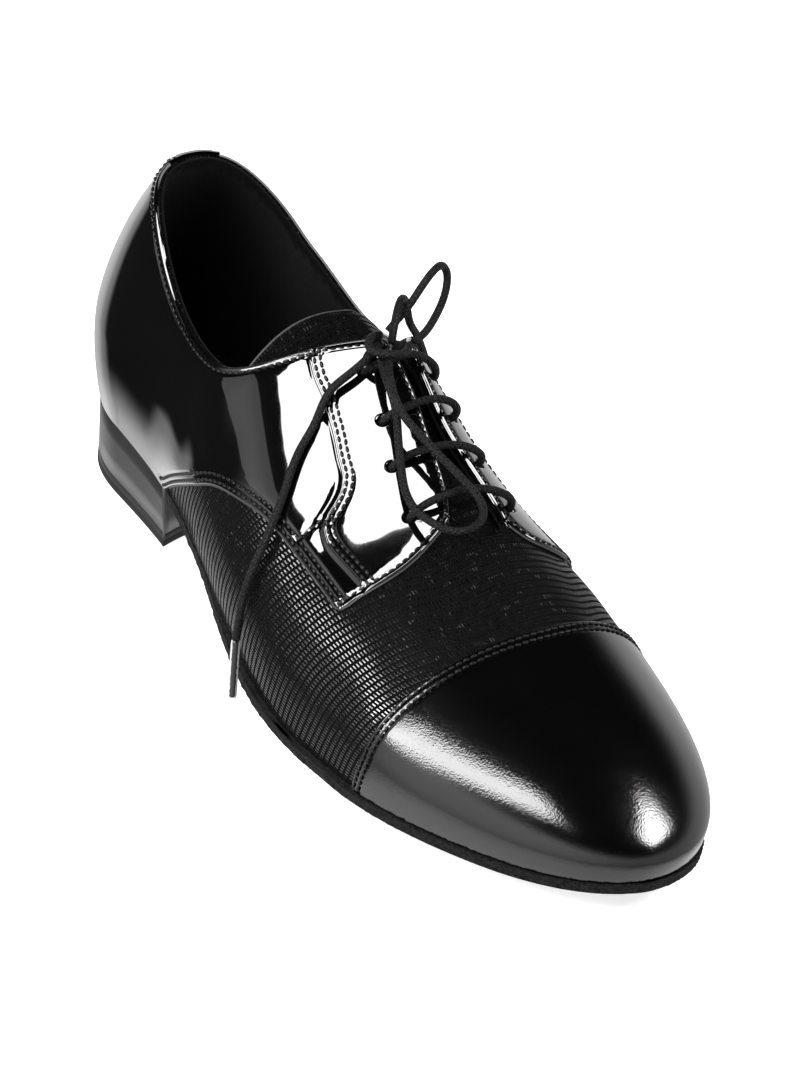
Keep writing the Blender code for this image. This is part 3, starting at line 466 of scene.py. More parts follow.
def last_point(a, side, v):
    """The outer surface of the upper: across, along and up."""
    a, side, v = np.broadcast_arrays(np.asarray(a, float), np.asarray(side, float), np.asarray(v, float))
    heel = a < QUARTER_TURN
    toe = a > TOE_START
    s_row = np.clip(a - QUARTER_TURN + HEEL_CENTRE, HEEL_CENTRE, TOE_CENTRE)
    near = side < 0
    edge = np.where(near, WIDTH["lateral"](s_row), WIDTH["medial"](s_row))
    widest = edge + np.where(near, WIDTH["bulge_lateral"](s_row), WIDTH["bulge_medial"](s_row))
    power = 2.0 / np.where(near, WIDTH["round_lateral"](s_row), WIDTH["round_medial"](s_row))
    turn = np.radians(np.where(heel, QUARTER_TURN - a, np.where(toe, a - TOE_START, 0.0)))
    climb = np.clip((v - BULGE_V) / (1 - BULGE_V), 0, 1) * math.pi / 2
    drop = np.clip((BULGE_V - v) / BULGE_V, 0, 1)
    inward = np.clip(np.cos(climb), 0, 1) ** power
    upward = np.clip(np.sin(climb), 0, 1) ** power
    below = v < BULGE_V
    toe_t = np.clip(np.sin(turn), 0, 1)
    p = np.where(near, TOE_POWERS[LATERAL][0], TOE_POWERS[MEDIAL][0])
    q = np.where(near, TOE_POWERS[LATERAL][1], TOE_POWERS[MEDIAL][1])
    toe_x = np.clip(1 - toe_t ** q, 0, 1) ** (1 / p)
    heel_power = 2 / HEEL_POWER
    share = np.where(heel, np.clip(np.cos(turn), 0, 1) ** heel_power, np.where(toe, toe_x, 1.0))

    def reach(low, high):
        return np.where(below, high - (high - low) * drop ** 2, high * inward)

    x = side * reach(edge, widest) * share
    x = x + np.where(below, 0.0, WIDTH["ridge"](s_row) * (1 - inward))
    back = reach(HEEL_REACH, HEEL_BULGE_REACH) * toe_t ** heel_power
    front = reach(TOE_REACH, TOE_BULGE_REACH) * toe_t
    s = np.where(heel, HEEL_CENTRE - back, np.where(toe, TOE_CENTRE + front, s_row))
    s_edge = np.where(toe, TOE_CENTRE + TOE_REACH * toe_t, s_row)
    s_here = np.where(toe, s, s_row)
    low_z = HEIGHT["feather"](s_edge)
    mid_z = HEIGHT["bulge"](s_edge)
    top_z = HEIGHT["ridge_top"](s_here)
    z = np.where(below, mid_z - (mid_z - low_z) * drop, mid_z + (top_z - mid_z) * upward)
    z = z + np.where(heel, np.sin(turn) ** 2 * (1 - v), 0.0)
    return np.stack([HEIGHT["swing"](s_here) + x, s, z], -1)


def unit(vectors):
    """Directions, each one long."""
    return vectors / np.maximum(np.linalg.norm(vectors, axis=-1, keepdims=True), TINY)


def one_normal(a, side, v):
    """Outward direction of one side alone."""
    v = np.clip(v, LOWEST_V, RIDGE_V)
    a = np.clip(a, END_A, TOE_TIP - END_A)
    along = last_point(a + SMALL, side, v) - last_point(a - SMALL, side, v)
    up = last_point(a, side, v + SMALL) - last_point(a, side, v - SMALL)
    return unit(np.cross(along, up) * np.asarray(side, float)[..., None])


def last_normal(a, side, v):
    """Outward direction, turning to one direction for both sides on the ridge, level at the feather edge."""
    a, side, v = np.broadcast_arrays(np.asarray(a, float), np.asarray(side, float), np.asarray(v, float))
    share = np.clip((v - RIDGE_V) / (1 - RIDGE_V), 0, 1)[..., None]
    own = one_normal(a, side, v)
    a_ridge = np.minimum(a, TOE_START)
    v_ridge = np.full_like(v, RIDGE_V)
    ridge = unit(one_normal(a_ridge, side, v_ridge) + one_normal(a_ridge, -side, v_ridge))
    normal = own * (1 - share) + ridge * share
    middle = (a < MIDDLE_A) | (a > TOE_TIP - MIDDLE_A)
    normal[..., 0] = np.where(middle, 0.0, normal[..., 0])
    normal[..., 2] = np.where(v < LEVEL_V, 0.0, normal[..., 2])
    return unit(normal)


def flat(a, side, v):
    """The last laid out flat: the ridge is its middle line and the feather edge its outline."""
    a = np.asarray(a, float)
    reach = FLAT_GIRTH * (1.0 - np.asarray(v, float))
    heel_turn = np.radians(np.clip(QUARTER_TURN - a, 0, QUARTER_TURN))
    toe_turn = np.radians(np.clip(a - TOE_START, 0, QUARTER_TURN))
    x = side * reach * np.cos(heel_turn) * np.cos(toe_turn)
    y = np.clip(a - QUARTER_TURN + HEEL_CENTRE, HEEL_CENTRE, TOE_CENTRE)
    y = y - reach * np.sin(heel_turn) + reach * np.sin(toe_turn)
    return np.stack([x, y], -1)


def unflat(points):
    """The place on the last of points on the flat layout."""
    x = points[:, 0]
    y = points[:, 1]
    side = np.where(x > ON_MIDDLE, float(MEDIAL), float(LATERAL))
    back = np.maximum(HEEL_CENTRE - y, 0)
    front = np.maximum(y - TOE_CENTRE, 0)
    reach = np.sqrt(x ** 2 + back ** 2 + front ** 2)
    heel_a = QUARTER_TURN - np.degrees(np.arctan2(back, np.abs(x)))
    toe_a = TOE_START + np.degrees(np.arctan2(front, np.abs(x)))
    a = np.where(back > 0, heel_a, np.where(front > 0, toe_a, QUARTER_TURN + y - HEEL_CENTRE))
    v = np.clip(1.0 - reach / FLAT_GIRTH, 0.0, 1.0)
    return a, side, v


def on_last(points):
    """Places and outward directions on the last of flat points."""
    a, side, v = unflat(points)
    return last_point(a, side, v), last_normal(a, side, v)


def shade_normal(points):
    """Outward directions for shading, which keep their own slope down to the feather edge."""
    a, side, v = unflat(points)
    return last_normal(a, side, np.maximum(v, LEVEL_V))


def smooth(points, step):
    """A smooth line through points, kept at each of them and filled between at about one step."""
    points = np.asarray(points, float)
    chord = np.linalg.norm(np.diff(points, axis=0), axis=1)
    run = np.concatenate([[0.0], np.cumsum(chord)])
    curves = [spline(run, points[:, k]) for k in range(points.shape[1])]
    places = [0.0]
    for i, length in enumerate(chord):
        pieces = max(1, int(round(length / step)))
        places.extend(run[i] + length * (j + 1) / pieces for j in range(pieces))
    return np.stack([curve(places) for curve in curves], -1)


def flat_line(rows, step=LINE_STEP):
    """A smooth flat line through rows of (side, a, v)."""
    rows = np.asarray(rows, float)
    return smooth(flat(rows[:, 1], rows[:, 0], rows[:, 2]), step)


def side_line(side, rows):
    """A smooth flat line through rows of (a, v) on one side."""
    return flat_line([(side, a, v) for a, v in rows])


def inside(points, polygon):
    """Which points lie within a closed outline."""
    points = np.asarray(points, float)
    x = points[:, 0][:, None]
    y = points[:, 1][:, None]
    x0, y0 = polygon[:, 0], polygon[:, 1]
    x1, y1 = np.roll(x0, -1), np.roll(y0, -1)
    span = (y0 > y) != (y1 > y)
    rise = np.where(y1 == y0, TINY, y1 - y0)
    cross = x0 + (y - y0) / rise * (x1 - x0)
    return (span & (x < cross)).sum(1) % 2 == 1


def nearest(points, others):
    """Distance of each flat point to the nearest of some others."""
    tree = kdtree.KDTree(len(others))
    for i, spot in enumerate(others):
        tree.insert((*spot, 0.0), i)
    tree.balance()
    return np.array([tree.find((*spot, 0.0))[2] for spot in points])


def line_distance(points, line):
    """Distance of points to a line of short straight runs."""
    start = line[:-1]
    run = line[1:] - start
    square = np.maximum((run ** 2).sum(1), TINY)
    best = []
    for low in range(0, len(points), CHUNK):
        offset = points[low:low + CHUNK][:, None] - start[None]
        share = np.clip((offset * run[None]).sum(2) / square, 0, 1)
        gap = offset - share[..., None] * run[None]
        best.append(np.sqrt((gap ** 2).sum(2)).min(1))
    return np.concatenate(best)


def shift(line, distance):
    """A flat line moved sideways by a true distance on the last."""
    tangent = unit(np.gradient(line, axis=0))
    across = np.column_stack([-tangent[:, 1], tangent[:, 0]])
    far = on_last(line + SHIFT_PROBE * across)[0]
    near = on_last(line - SHIFT_PROBE * across)[0]
    stretch = np.linalg.norm(far - near, axis=1) / (2 * SHIFT_PROBE)
    return line + across * (distance / np.maximum(stretch, LEAST_STRETCH))[:, None]


def both_ways(line, distances):
    """A line moved to each side by some distances."""
    return [shift(line, way * distance) for distance in distances for way in (1, -1)]


def cap_place(side, v):
    """Where the toe cap's edge crosses the girth at v."""
    probe = last_point(TOE_TIP, side, v)[1] - TOE_CENTRE
    ahead = (CAP_S + CAP_RISE * v - TOE_CENTRE) / max(probe, TINY)
    return TOE_START + math.degrees(math.asin(min(ahead, 1.0)))


def cap_line():
    """The toe cap's edge, from the lateral feather edge over the ridge to the medial one."""
    low, high = CAP_TOP_RANGE
    for _ in range(HALVINGS):
        top = (low + high) / 2
        if last_point(TOE_TIP, LATERAL, top)[1] > CAP_S + CAP_RISE * top:
            low = top
        else:
            high = top
    rises = [top * math.sin(math.pi / 2 * i / CAP_STEPS) for i in range(CAP_STEPS)]
    lateral = [flat(cap_place(LATERAL, v), LATERAL, v) for v in rises]
    medial = [flat(cap_place(MEDIAL, v), MEDIAL, v) for v in reversed(rises)]
    return np.array(lateral + [flat(TOE_TIP, LATERAL, top)] + medial)


def eyelet_ring(side, a, v):
    """A round hole: its corners on the flat layout."""
    along = (last_point(a + SMALL, side, v) - last_point(a - SMALL, side, v)) / (2 * SMALL)
    up = (last_point(a, side, v + SMALL) - last_point(a, side, v - SMALL)) / (2 * SMALL)
    first = unit(along)
    second = unit(up - first * (up @ first))
    basis = np.stack([along, up], -1)
    ring = []
    for i in range(EYELET_SIDES):
        turn = 2 * math.pi * i / EYELET_SIDES
        offset = EYELET_RADIUS * (math.cos(turn) * first + math.sin(turn) * second)
        da, dv = np.linalg.lstsq(basis, offset, rcond=None)[0]
        ring.append(flat(a + da, side, v + dv))
    return np.array(ring)


def feather(side, start, end):
    """A stretch of the feather edge on the flat layout, ends left out."""
    count = max(2, int(abs(end - start) / FEATHER_STEP))
    places = [start + (end - start) * i / count for i in range(1, count)]
    return np.array([flat(a, side, 0.0) for a in places])


def place(points):
    """From the last's millimetres to the frame's metres."""
    points = np.asarray(points, float)
    return np.stack([points[..., 0] - ORIGIN_X, ORIGIN_S - points[..., 1], points[..., 2]], -1) * MM


def turn_to_frame(vectors):
    """Directions on the last as directions in the frame."""
    return np.stack([vectors[..., 0], -vectors[..., 1], vectors[..., 2]], -1)


def finish_piece(name, mesh, looks, nodes):
    """A named object that rides on the shoe and stands for its nodes."""
    for look in looks:
        mesh.materials.append(look)
    item = bpy.data.objects.new(name, mesh)
    bpy.context.collection.objects.link(item)
    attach(item, "root")
    if nodes:
        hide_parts(*nodes)
    return item


def make_mesh(name, points, faces, uv=None, normals=None):
    """A smooth-shaded mesh from points on the last, with an optional layout and given directions."""
    mesh = bpy.data.meshes.new(name)
    mesh.from_pydata(place(points).tolist(), [], [tuple(int(i) for i in f) for f in faces])
    mesh.shade_smooth()
    if uv is not None:
        layer = mesh.uv_layers.new(name="layout")
        corner = np.zeros(len(mesh.loops), np.int32)
        mesh.loops.foreach_get("vertex_index", corner)
        layer.data.foreach_set("uv", np.asarray(uv, np.float32)[corner].ravel())
    if normals is not None:
        mesh.normals_split_custom_set_from_vertices(turn_to_frame(normals).tolist())
    return mesh


def within(points, loop, holes):
    """The points inside an outline and outside its holes."""
    keep = inside(points, loop)
    for ring in holes:
        keep &= ~inside(points, ring)
    return points[keep]


def lattice(loop, spacing):
    """Even rows of points over the box of an outline."""
    low, high = loop.min(0), loop.max(0)
    rows = []
    for k, y in enumerate(np.arange(low[1], high[1], spacing * LATTICE_RISE)):
        xs = np.arange(low[0] + (k % 2) * spacing / 2, high[0], spacing)
        rows.append(np.column_stack([xs, np.full(len(xs), y)]))
    return np.concatenate(rows)


def fill(loop, holes, rows, spacing):
    """Triangles over a flat region: outline, holes, rows of extra points and an even lattice."""
    rings = [loop] + holes
    points = np.concatenate(rings)
    edges = []
    start = 0
    for ring in rings:
        count = len(ring)
        edges.extend((start + i, start + (i + 1) % count) for i in range(count))
        start += count
    if rows:
        extra = within(np.concatenate(rows), loop, holes)
        points = np.concatenate([points, extra[nearest(extra, points) > ROW_CLEAR]])
    grid = within(lattice(loop, spacing), loop, holes)
    points = np.concatenate([points, grid[nearest(grid, points) > LATTICE_CLEAR * spacing]])
    result = delaunay_2d_cdt([Vector(p) for p in points], edges, [], 0, WELD)
    plan = np.array([tuple(p) for p in result[0]])
    faces = np.array([f for f in result[2] if len(f) == 3])
    middle = plan[faces].mean(1)
    keep = inside(middle, loop)
    for ring in holes:
        keep &= ~inside(middle, ring)
    return plan, faces[keep]


def outward(points, faces, normals):
    """Faces turned so that they look along the given directions."""
    corner = points[faces]
    first = np.cross(corner[:, 1] - corner[:, 0], corner[:, 2] - corner[:, 0])
    # The frame reverses the direction along the shoe, so the turning direction reverses with it.
    agree = (first * normals[faces].mean(1)).sum(1) < 0
    return np.where(agree[:, None], faces, faces[:, ::-1])


def rim_walls(faces, count):
    """Faces that close the rims between an outer and an inner copy of a set of faces."""
    seen = set()
    for face in faces.tolist():
        for i in range(3):
            seen.add((face[i], face[(i + 1) % 3]))
    rims = sorted((i, j) for i, j in seen if (j, i) not in seen)
    return [(j, i, i + count, j + count) for i, j in rims]


def two_skins(faces, count):
    """An outer and an inner copy of a set of faces, closed at the rims."""
    shell = [tuple(f) for f in faces.tolist()]
    shell += [(f[2] + count, f[1] + count, f[0] + count) for f in faces.tolist()]
    return shell + rim_walls(faces, count)


def layout_of(plan):
    """Along the foot and around it, in centimetres, for the grain of a piece."""
    spot = last_point(*unflat(plan))
    ridge_place = np.clip(spot[:, 1] + QUARTER_TURN - HEEL_CENTRE, QUARTER_TURN, TOE_START)
    ridge = last_point(ridge_place, np.ones(len(spot)), np.ones(len(spot)))
    across = GRAIN_RADIUS * np.arctan2(spot[:, 0] - ridge[:, 0], spot[:, 2] - GRAIN_AXIS * ridge[:, 2])
    slant = GRAIN_SLANT * np.maximum(np.abs(across) - GRAIN_FLAT, 0.0)
    return np.column_stack([spot[:, 1] + slant, across]) / CM


def roll(distance, radius=ROLL):
    """Rounded rise of a folded edge."""
    t = np.clip(distance / radius, 0.0, 1.0)
    return np.sqrt(np.clip(1 - (1 - t) ** 2, 0, 1))


def wave(points):
    """Faint hand-lasted unevenness of stretched leather."""
    def swing(row):
        return np.sin(points @ np.array(row[:3]) + row[3])

    return sum(height * swing(one) * swing(two) for height, one, two in WAVES)


def relief_rows(holes, rolled, lines, stay):
    """Rows of points along folded edges, stitch lines, holes and the stay's step."""
    rows = []
    for edge in rolled:
        rows += both_ways(edge, ROLL_ROWS)
    for line in lines:
        rows += [line] + both_ways(line, GROOVE_ROWS)
    for ring in holes:
        rows += both_ways(np.concatenate([ring, ring[:1]]), HOLE_ROWS)
    if stay:
        rows += [shift(stay[1], way * distance) for way in (1, -1) for distance in STEP_ROWS]
    return rows


def crease_line(side, a_start, v_start, a_end, v_end):
    """A trough's line on the last."""
    middle = (side, (a_start + a_end) / 2, (v_start + v_end) / 2)
    return on_last(flat_line([(side, a_start, v_start), middle, (side, a_end, v_end)]))[0]


class Relief:
    """The rise of a leather piece: folded edges, holes, troughs, stitch grooves and a raised stay."""

    def __init__(self, plan, holes, rolled, lines, low, top, uneven, creases, stay):
        self.low = low
        self.top = top
        self.uneven = uneven
        self.edges = [on_last(edge)[0] for edge in rolled]
        self.holes = [on_last(np.concatenate([ring, ring[:1]]))[0] for ring in holes]
        self.grooves = [on_last(line)[0] for line in lines]
        self.creases = [(crease_line(*row[:5]), *row[5:]) for row in creases]
        self.step = on_last(stay[1])[0] if stay else None
        self.raised = np.where(inside(plan, stay[0]), 1.0, -1.0) if stay else None

    def height(self, points):
        """Height over the last at points near it."""
        gap = np.minimum.reduce([line_distance(points, line) for line in self.edges])
        rise = roll(gap)
        for ring in self.holes:
            rise = rise * (HOLE_LOW + (1 - HOLE_LOW) * roll(line_distance(points, ring), HOLE_ROLL))
        h = self.top + self.uneven * wave(points) * np.clip(gap / WAVE_FADE, 0, 1)
        for line, depth, wide in self.creases:
            trough = np.exp(-(line_distance(points, line) / wide) ** 2)
            h = h - depth * trough * np.clip(gap / CREASE_FADE, 0, 1)
        for line in self.grooves:
            h = h - GROOVE * np.exp(-(line_distance(points, line) / GROOVE_WIDTH) ** 2)
        if self.step is not None:
            signed = self.raised * line_distance(points, self.step)
            h = h + STAY_STEP * np.clip(signed / STEP_RUN + 0.5, 0, 1)
            h = h - GUTTER * np.exp(-((signed + GUTTER_AWAY) / GUTTER_WIDTH) ** 2)
        return self.low + np.maximum(h - self.low, THINNEST) * np.maximum(rise, LEAST_RISE)

    def lean(self, spot, normal):
        """How the surface leans away from the last's own direction."""
        first = unit(np.cross(normal, np.tile(SKEW, (len(normal), 1))))
        total = 0.0
        for way in (first, np.cross(normal, first)):
            slope = (self.height(spot + PROBE * way) - self.height(spot - PROBE * way)) / (2 * PROBE)
            total = total + np.clip(slope, -STEEPEST, STEEPEST)[:, None] * way
        return total


def panel(name, loop, holes, rolled, lines, low, top, look, nodes, stay=None, uneven=1.0, creases=(),
          spacing=FINE, back_gap=0.0):
    """A leather piece on the last, with folded edges, stitch grooves and soft troughs."""
    plan, faces = fill(loop, holes, relief_rows(holes, rolled, lines, stay), spacing)
    spot, normal = on_last(plan)
    relief = Relief(plan, holes, rolled, lines, low, top, uneven, creases, stay)
    outer = spot + relief.height(spot)[:, None] * normal
    inner = spot + low * normal
    facing = unit(shade_normal(plan) - relief.lean(spot, normal))
    if back_gap:
        at_back = np.abs(plan[:, 0]) < ON_MIDDLE
        outer[at_back, 0] += back_gap
        inner[at_back, 0] += back_gap
    shell = two_skins(outward(spot, faces, normal), len(outer))
    mesh = make_mesh(name, np.concatenate([outer, inner]), shell, np.tile(layout_of(plan), (2, 1)),
                     np.concatenate([facing, -normal]))
    return finish_piece(name, mesh, [look], nodes)


def run_of(line):
    """Length along a line up to each of its points."""
    return np.concatenate([[0.0], np.cumsum(np.linalg.norm(np.diff(line, axis=0), axis=1))])


def along_line(run, rows, place_on_line):
    """A line's value at a length along it."""
    return np.array([np.interp(place_on_line, run, rows[:, k]) for k in range(3)])


def bead_points():
    """One bead of thread along x: a tip, rings of points and a tip."""
    points = [(-1.0, 0.0, 0.0)]
    for i in range(1, BEAD_RINGS + 1):
        t = -1 + 2 * i / (BEAD_RINGS + 1)
        wide = math.sqrt(1 - t * t)
        for k in range(BEAD_SIDES):
            turn = 2 * math.pi * k / BEAD_SIDES
            points.append((t, wide * math.cos(turn), wide * math.sin(turn)))
    return np.array(points + [(1.0, 0.0, 0.0)])


def bead_faces():
    """Faces of one bead."""
    following = [(k, (k + 1) % BEAD_SIDES) for k in range(BEAD_SIDES)]
    faces = [(0, 1 + n, 1 + k) for k, n in following]
    for i in range(BEAD_RINGS - 1):
        here = 1 + i * BEAD_SIDES
        ahead = here + BEAD_SIDES
        faces += [(here + k, here + n, ahead + n, ahead + k) for k, n in following]
    tip = 1 + BEAD_RINGS * BEAD_SIDES
    here = tip - BEAD_SIDES
    return faces + [(tip, here + k, here + n) for k, n in following]


def stitches(name, runs, look):
    """Rows of thread: each run is a flat line and its height over the last."""
    bead = bead_points() * np.array(STITCH_HALF)
    pattern = bead_faces()
    points = []
    faces = []
    for line, height in runs:
        spot, normal = on_last(line)
        spot = spot + normal * height
        run = run_of(spot)
        count = int(run[-1] / STITCH_PITCH)
        for i in range(count):
            middle = (i + 0.5) * run[-1] / count
            ahead = along_line(run, spot, middle + STITCH_PROBE)
            along = unit(ahead - along_line(run, spot, middle - STITCH_PROBE))
            up = along_line(run, normal, middle)
            out = unit(up - along * (up @ along))
            along = unit(along + STITCH_TILTS[i % 2] * np.cross(out, along))
            start = len(points) * len(bead)
            turned = bead @ np.stack([along, np.cross(out, along), out])
            points.append(along_line(run, spot, middle) + turned)
            faces += [tuple(start + k for k in f) for f in pattern]
    mesh = make_mesh(name, np.concatenate(points), faces)
    return finish_piece(name, mesh, [look], ())


def tube(name, route, radius, look, nodes, sides=CORD_SIDES, step=CORD_STEP, profile=None):
    """A round cord along a smooth line; gives the piece and its centre line in the frame."""
    line = smooth(route, step)
    tangent = unit(np.gradient(line, axis=0))
    normal = unit(np.cross(tangent[0], CORD_SKEW))
    run = run_of(line)
    points = []
    uv = []
    for i, spot in enumerate(line):
        normal = unit(normal - tangent[i] * (normal @ tangent[i]))
        other = np.cross(tangent[i], normal)
        wide = radius * (profile(run[i] / run[-1]) if profile else 1.0)
        for k in range(sides):
            turn = 2 * math.pi * k / sides
            points.append(spot + wide * (math.cos(turn) * normal + math.sin(turn) * other))
            uv.append((run[i] / CM, k / sides))
    faces = []
    for here in range(0, (len(line) - 1) * sides, sides):
        ahead = here + sides
        for k in range(sides):
            n = (k + 1) % sides
            faces.append((here + k, ahead + k, ahead + n, here + n))
    last = (len(line) - 1) * sides
    faces.append(tuple(range(sides)))
    faces.append(tuple(last + k for k in reversed(range(sides))))
    mesh = make_mesh(name, np.array(points), faces, np.array(uv))
    return finish_piece(name, mesh, [look], nodes), place(line)


def bar_route(rows):
    """A lace bar's way, from places on the last and heights over it."""
    a, v, height = np.asarray(rows, float).T
    side = np.array(BAR_SIDES, float)
    return last_point(a, side, v) + last_normal(a, side, v) * height[:, None]


class Look:
    """A node material with a few helpers for its patterns."""

    def __init__(self, name, colour, rough, **values):
        self.item = bpy.data.materials.new(name)
        self.item.use_nodes = True
        self.tree = self.item.node_tree
        self.shader = self.tree.nodes["Principled BSDF"]
        self.set("Base Color", (*colour, 1.0))
        self.set("Roughness", rough)
        for key, value in values.items():
            self.set(key.replace("_", " "), value)

    def set(self, key, value):
        self.shader.inputs[key].default_value = value

    def node(self, kind, **values):
        made = self.tree.nodes.new(kind)
        for key, value in values.items():
            setattr(made, key, value)
        return made

    def link(self, output, target):
        self.tree.links.new(output, target)

    def feed(self, key, output):
        self.link(output, self.shader.inputs[key])

    def math(self, operation, first, second=None):
        """A sum of two numbers or patterns, or a function of one."""
        made = self.node("ShaderNodeMath", operation=operation)
        for slot, value in zip(made.inputs, (first, second)):
            if value is None:
                continue
            if isinstance(value, (int, float)):
                slot.default_value = value
            else:
                self.link(value, slot)
        return made.outputs[0]

    def object_place(self):
        return self.node("ShaderNodeTexCoord").outputs["Object"]

    def layout(self):
        split = self.node("ShaderNodeSeparateXYZ")
        self.link(self.node("ShaderNodeUVMap", uv_map="layout").outputs["UV"], split.inputs[0])
        return split.outputs["X"], split.outputs["Y"]

    def noise(self, scale, detail=2.0, rough=0.5):
        made = self.node("ShaderNodeTexNoise")
        made.inputs["Scale"].default_value = scale
        made.inputs["Detail"].default_value = detail
        made.inputs["Roughness"].default_value = rough
        self.link(self.object_place(), made.inputs["Vector"])
        return made.outputs["Fac"]

    def cells(self, scale):
        made = self.node("ShaderNodeTexVoronoi")
        made.inputs["Scale"].default_value = scale
        self.link(self.object_place(), made.inputs["Vector"])
        return made.outputs["Distance"]

    def ramp(self, value, low, high):
        """A soft step from 0 at low to 1 at high."""
        made = self.node("ShaderNodeMapRange", interpolation_type="SMOOTHSTEP")
        made.inputs["From Min"].default_value = low
        made.inputs["From Max"].default_value = high
        self.link(value, made.inputs["Value"])
        return made.outputs["Result"]

    def between(self, value, low, high):
        """A number that follows a pattern from low to high."""
        made = self.node("ShaderNodeMapRange")
        made.inputs["To Min"].default_value = low
        made.inputs["To Max"].default_value = high
        self.link(value, made.inputs["Value"])
        return made.outputs["Result"]

    def colours(self, value, first, second):
        """A colour that follows a pattern from the first to the second."""
        made = self.node("ShaderNodeMix", data_type="RGBA")
        ends = {"A": first, "B": second}
        for slot in made.inputs:
            if slot.name in ends and slot.type == "RGBA":
                slot.default_value = (*ends[slot.name], 1.0)
        self.link(value, made.inputs["Factor"])
        return [out for out in made.outputs if out.type == "RGBA"][0]

    def bump(self, value, distance, strength=1.0, after=None):
        made = self.node("ShaderNodeBump")
        made.inputs["Distance"].default_value = distance * MM
        made.inputs["Strength"].default_value = strength
        self.link(value, made.inputs["Height"])
        if after:
            self.link(after, made.inputs["Normal"])
        return made.outputs["Normal"]


def patent_look():
    """Lacquered leather with a faint swell."""
    look = Look("patent", (0.0008, 0.0008, 0.0009), 0.04,
                Coat_Weight=1.0, Coat_Roughness=0.015, Coat_IOR=1.55)
    soft = look.bump(look.noise(60, 1.0), 0.14, 0.5)
    look.feed("Normal", soft)
    look.feed("Coat Normal", soft)
    look.feed("Roughness", look.between(look.noise(260, 4.0), 0.03, 0.07))
    return look.item


def cap_look():
    """Polished leather with a fine pebble."""
    look = Look("cap", (0.001, 0.001, 0.0011), 0.14, Coat_Weight=0.7, Coat_Roughness=0.06)
    pebble = look.bump(look.cells(1900), 0.050, 0.5)
    broad = look.bump(look.noise(800, 2.0), 0.05, 0.45, pebble)
    look.feed("Normal", broad)
    look.feed("Coat Normal", broad)
    look.feed("Roughness", look.between(look.noise(120, 3.0), 0.11, 0.20))
    return look.item


def vamp_look():
    """Nubuck with rows of small glossy dashes across the foot."""
    look = Look("vamp", (0.005, 0.005, 0.005), 0.85, Specular_IOR_Level=0.06)
    along, girth = look.layout()
    drift = look.math("MULTIPLY", look.noise(45, 1.0), 0.16)
    row = look.math("DIVIDE", look.math("ADD", along, drift), DASH_ROW)
    index = look.math("FLOOR", row)
    in_row = look.math("FRACT", row)
    turned = look.math("SINE", look.math("MULTIPLY", index, 12.9))
    stagger = look.math("FRACT", look.math("MULTIPLY", turned, 43.7))
    column = look.math("ADD", look.math("DIVIDE", girth, DASH_COLUMN), stagger)
    in_column = look.math("FRACT", column)
    from_mid_row = look.math("ABSOLUTE", look.math("SUBTRACT", in_row, 0.5))
    from_mid_column = look.math("ABSOLUTE", look.math("SUBTRACT", in_column, 0.5))
    rows = look.math("SUBTRACT", 1.0, look.ramp(from_mid_row, 0.27, 0.36))
    columns = look.math("SUBTRACT", 1.0, look.ramp(from_mid_column, 0.17, 0.29))
    dash = look.math("MULTIPLY", rows, columns)
    worn = look.math("MULTIPLY", dash, look.between(look.noise(420, 2.0), 0.35, 1.35))
    smooth_part = look.ramp(worn, 0.45, 0.8)
    nap = look.noise(2600, 3.0)
    tone = look.colours(smooth_part, (0.0022, 0.0021, 0.0020), (0.10, 0.10, 0.102))
    look.feed("Base Color", tone)
    look.feed("Metallic", smooth_part)
    look.feed("Roughness", look.between(smooth_part, 0.9, 0.12))
    swell = look.bump(look.noise(190, 2.0), 0.42, 0.4)
    lean = look.bump(look.noise(620, 1.0), 0.10, 0.5, swell)
    raised = look.bump(dash, 0.10, 0.5, lean)
    look.feed("Normal", look.bump(nap, 0.05, 0.4, raised))
    return look.item


def suede_look(name, light, dark, scale=1800, depth=0.12):
    """Rough leather with a short nap."""
    look = Look(name, light, 0.95, Sheen_Weight=0.03, Sheen_Roughness=0.5, Specular_IOR_Level=0.06)
    nap = look.noise(scale, 5.0, 0.65)
    look.feed("Base Color", look.colours(look.ramp(nap, 0.3, 0.7), dark, light))
    fluff = look.bump(nap, depth, 0.8)
    look.feed("Normal", look.bump(look.noise(scale / 5, 3.0), depth * 1.5, 0.5, fluff))
    return look.item


def edge_and_highlight_look():
    """Inked cut edge of a leather sheet; its grey, lighter than the lacquer, is partly a painted highlight
    along the edge.
    """
    look = Look("edge", (0.03, 0.03, 0.03), 0.4, Specular_IOR_Level=0.4)
    look.feed("Roughness", look.between(look.noise(900, 3.0), 0.3, 0.55))
    look.feed("Normal", look.bump(look.noise(1600, 3.0), 0.04, 0.5))
    return look.item


def heel_look():
    """Lacquer with a soft gloss."""
    look = Look("heel", (0.013, 0.013, 0.0133), 0.34, Coat_Weight=0.4, Coat_Roughness=0.28)
    fine = look.noise(900, 4.0)
    look.feed("Roughness", look.between(look.noise(60, 4.0), 0.28, 0.44))
    look.feed("Normal", look.bump(fine, 0.02, 0.4))
    return look.item


def rubber_look():
    """A rubber top piece under a thin layer with the heel's own finish."""
    look = Look("lift", (0.005, 0.005, 0.005), 0.7, Specular_IOR_Level=0.35)
    split = look.node("ShaderNodeSeparateXYZ")
    look.link(look.object_place(), split.inputs[0])
    painted = look.ramp(split.outputs["Z"], (LIFT_PAINT - PAINT_EDGE) * MM, (LIFT_PAINT + PAINT_EDGE) * MM)
    look.feed("Base Color", look.colours(painted, (0.007, 0.007, 0.007), (0.022, 0.022, 0.0223)))
    look.feed("Normal", look.bump(look.noise(1400, 4.0), 0.05, 0.5))
    smooth_part = look.math("MULTIPLY", painted, look.between(look.noise(300, 3.0), 0.75, 1.0))
    look.feed("Roughness", look.between(smooth_part, 0.75, 0.3))
    return look.item


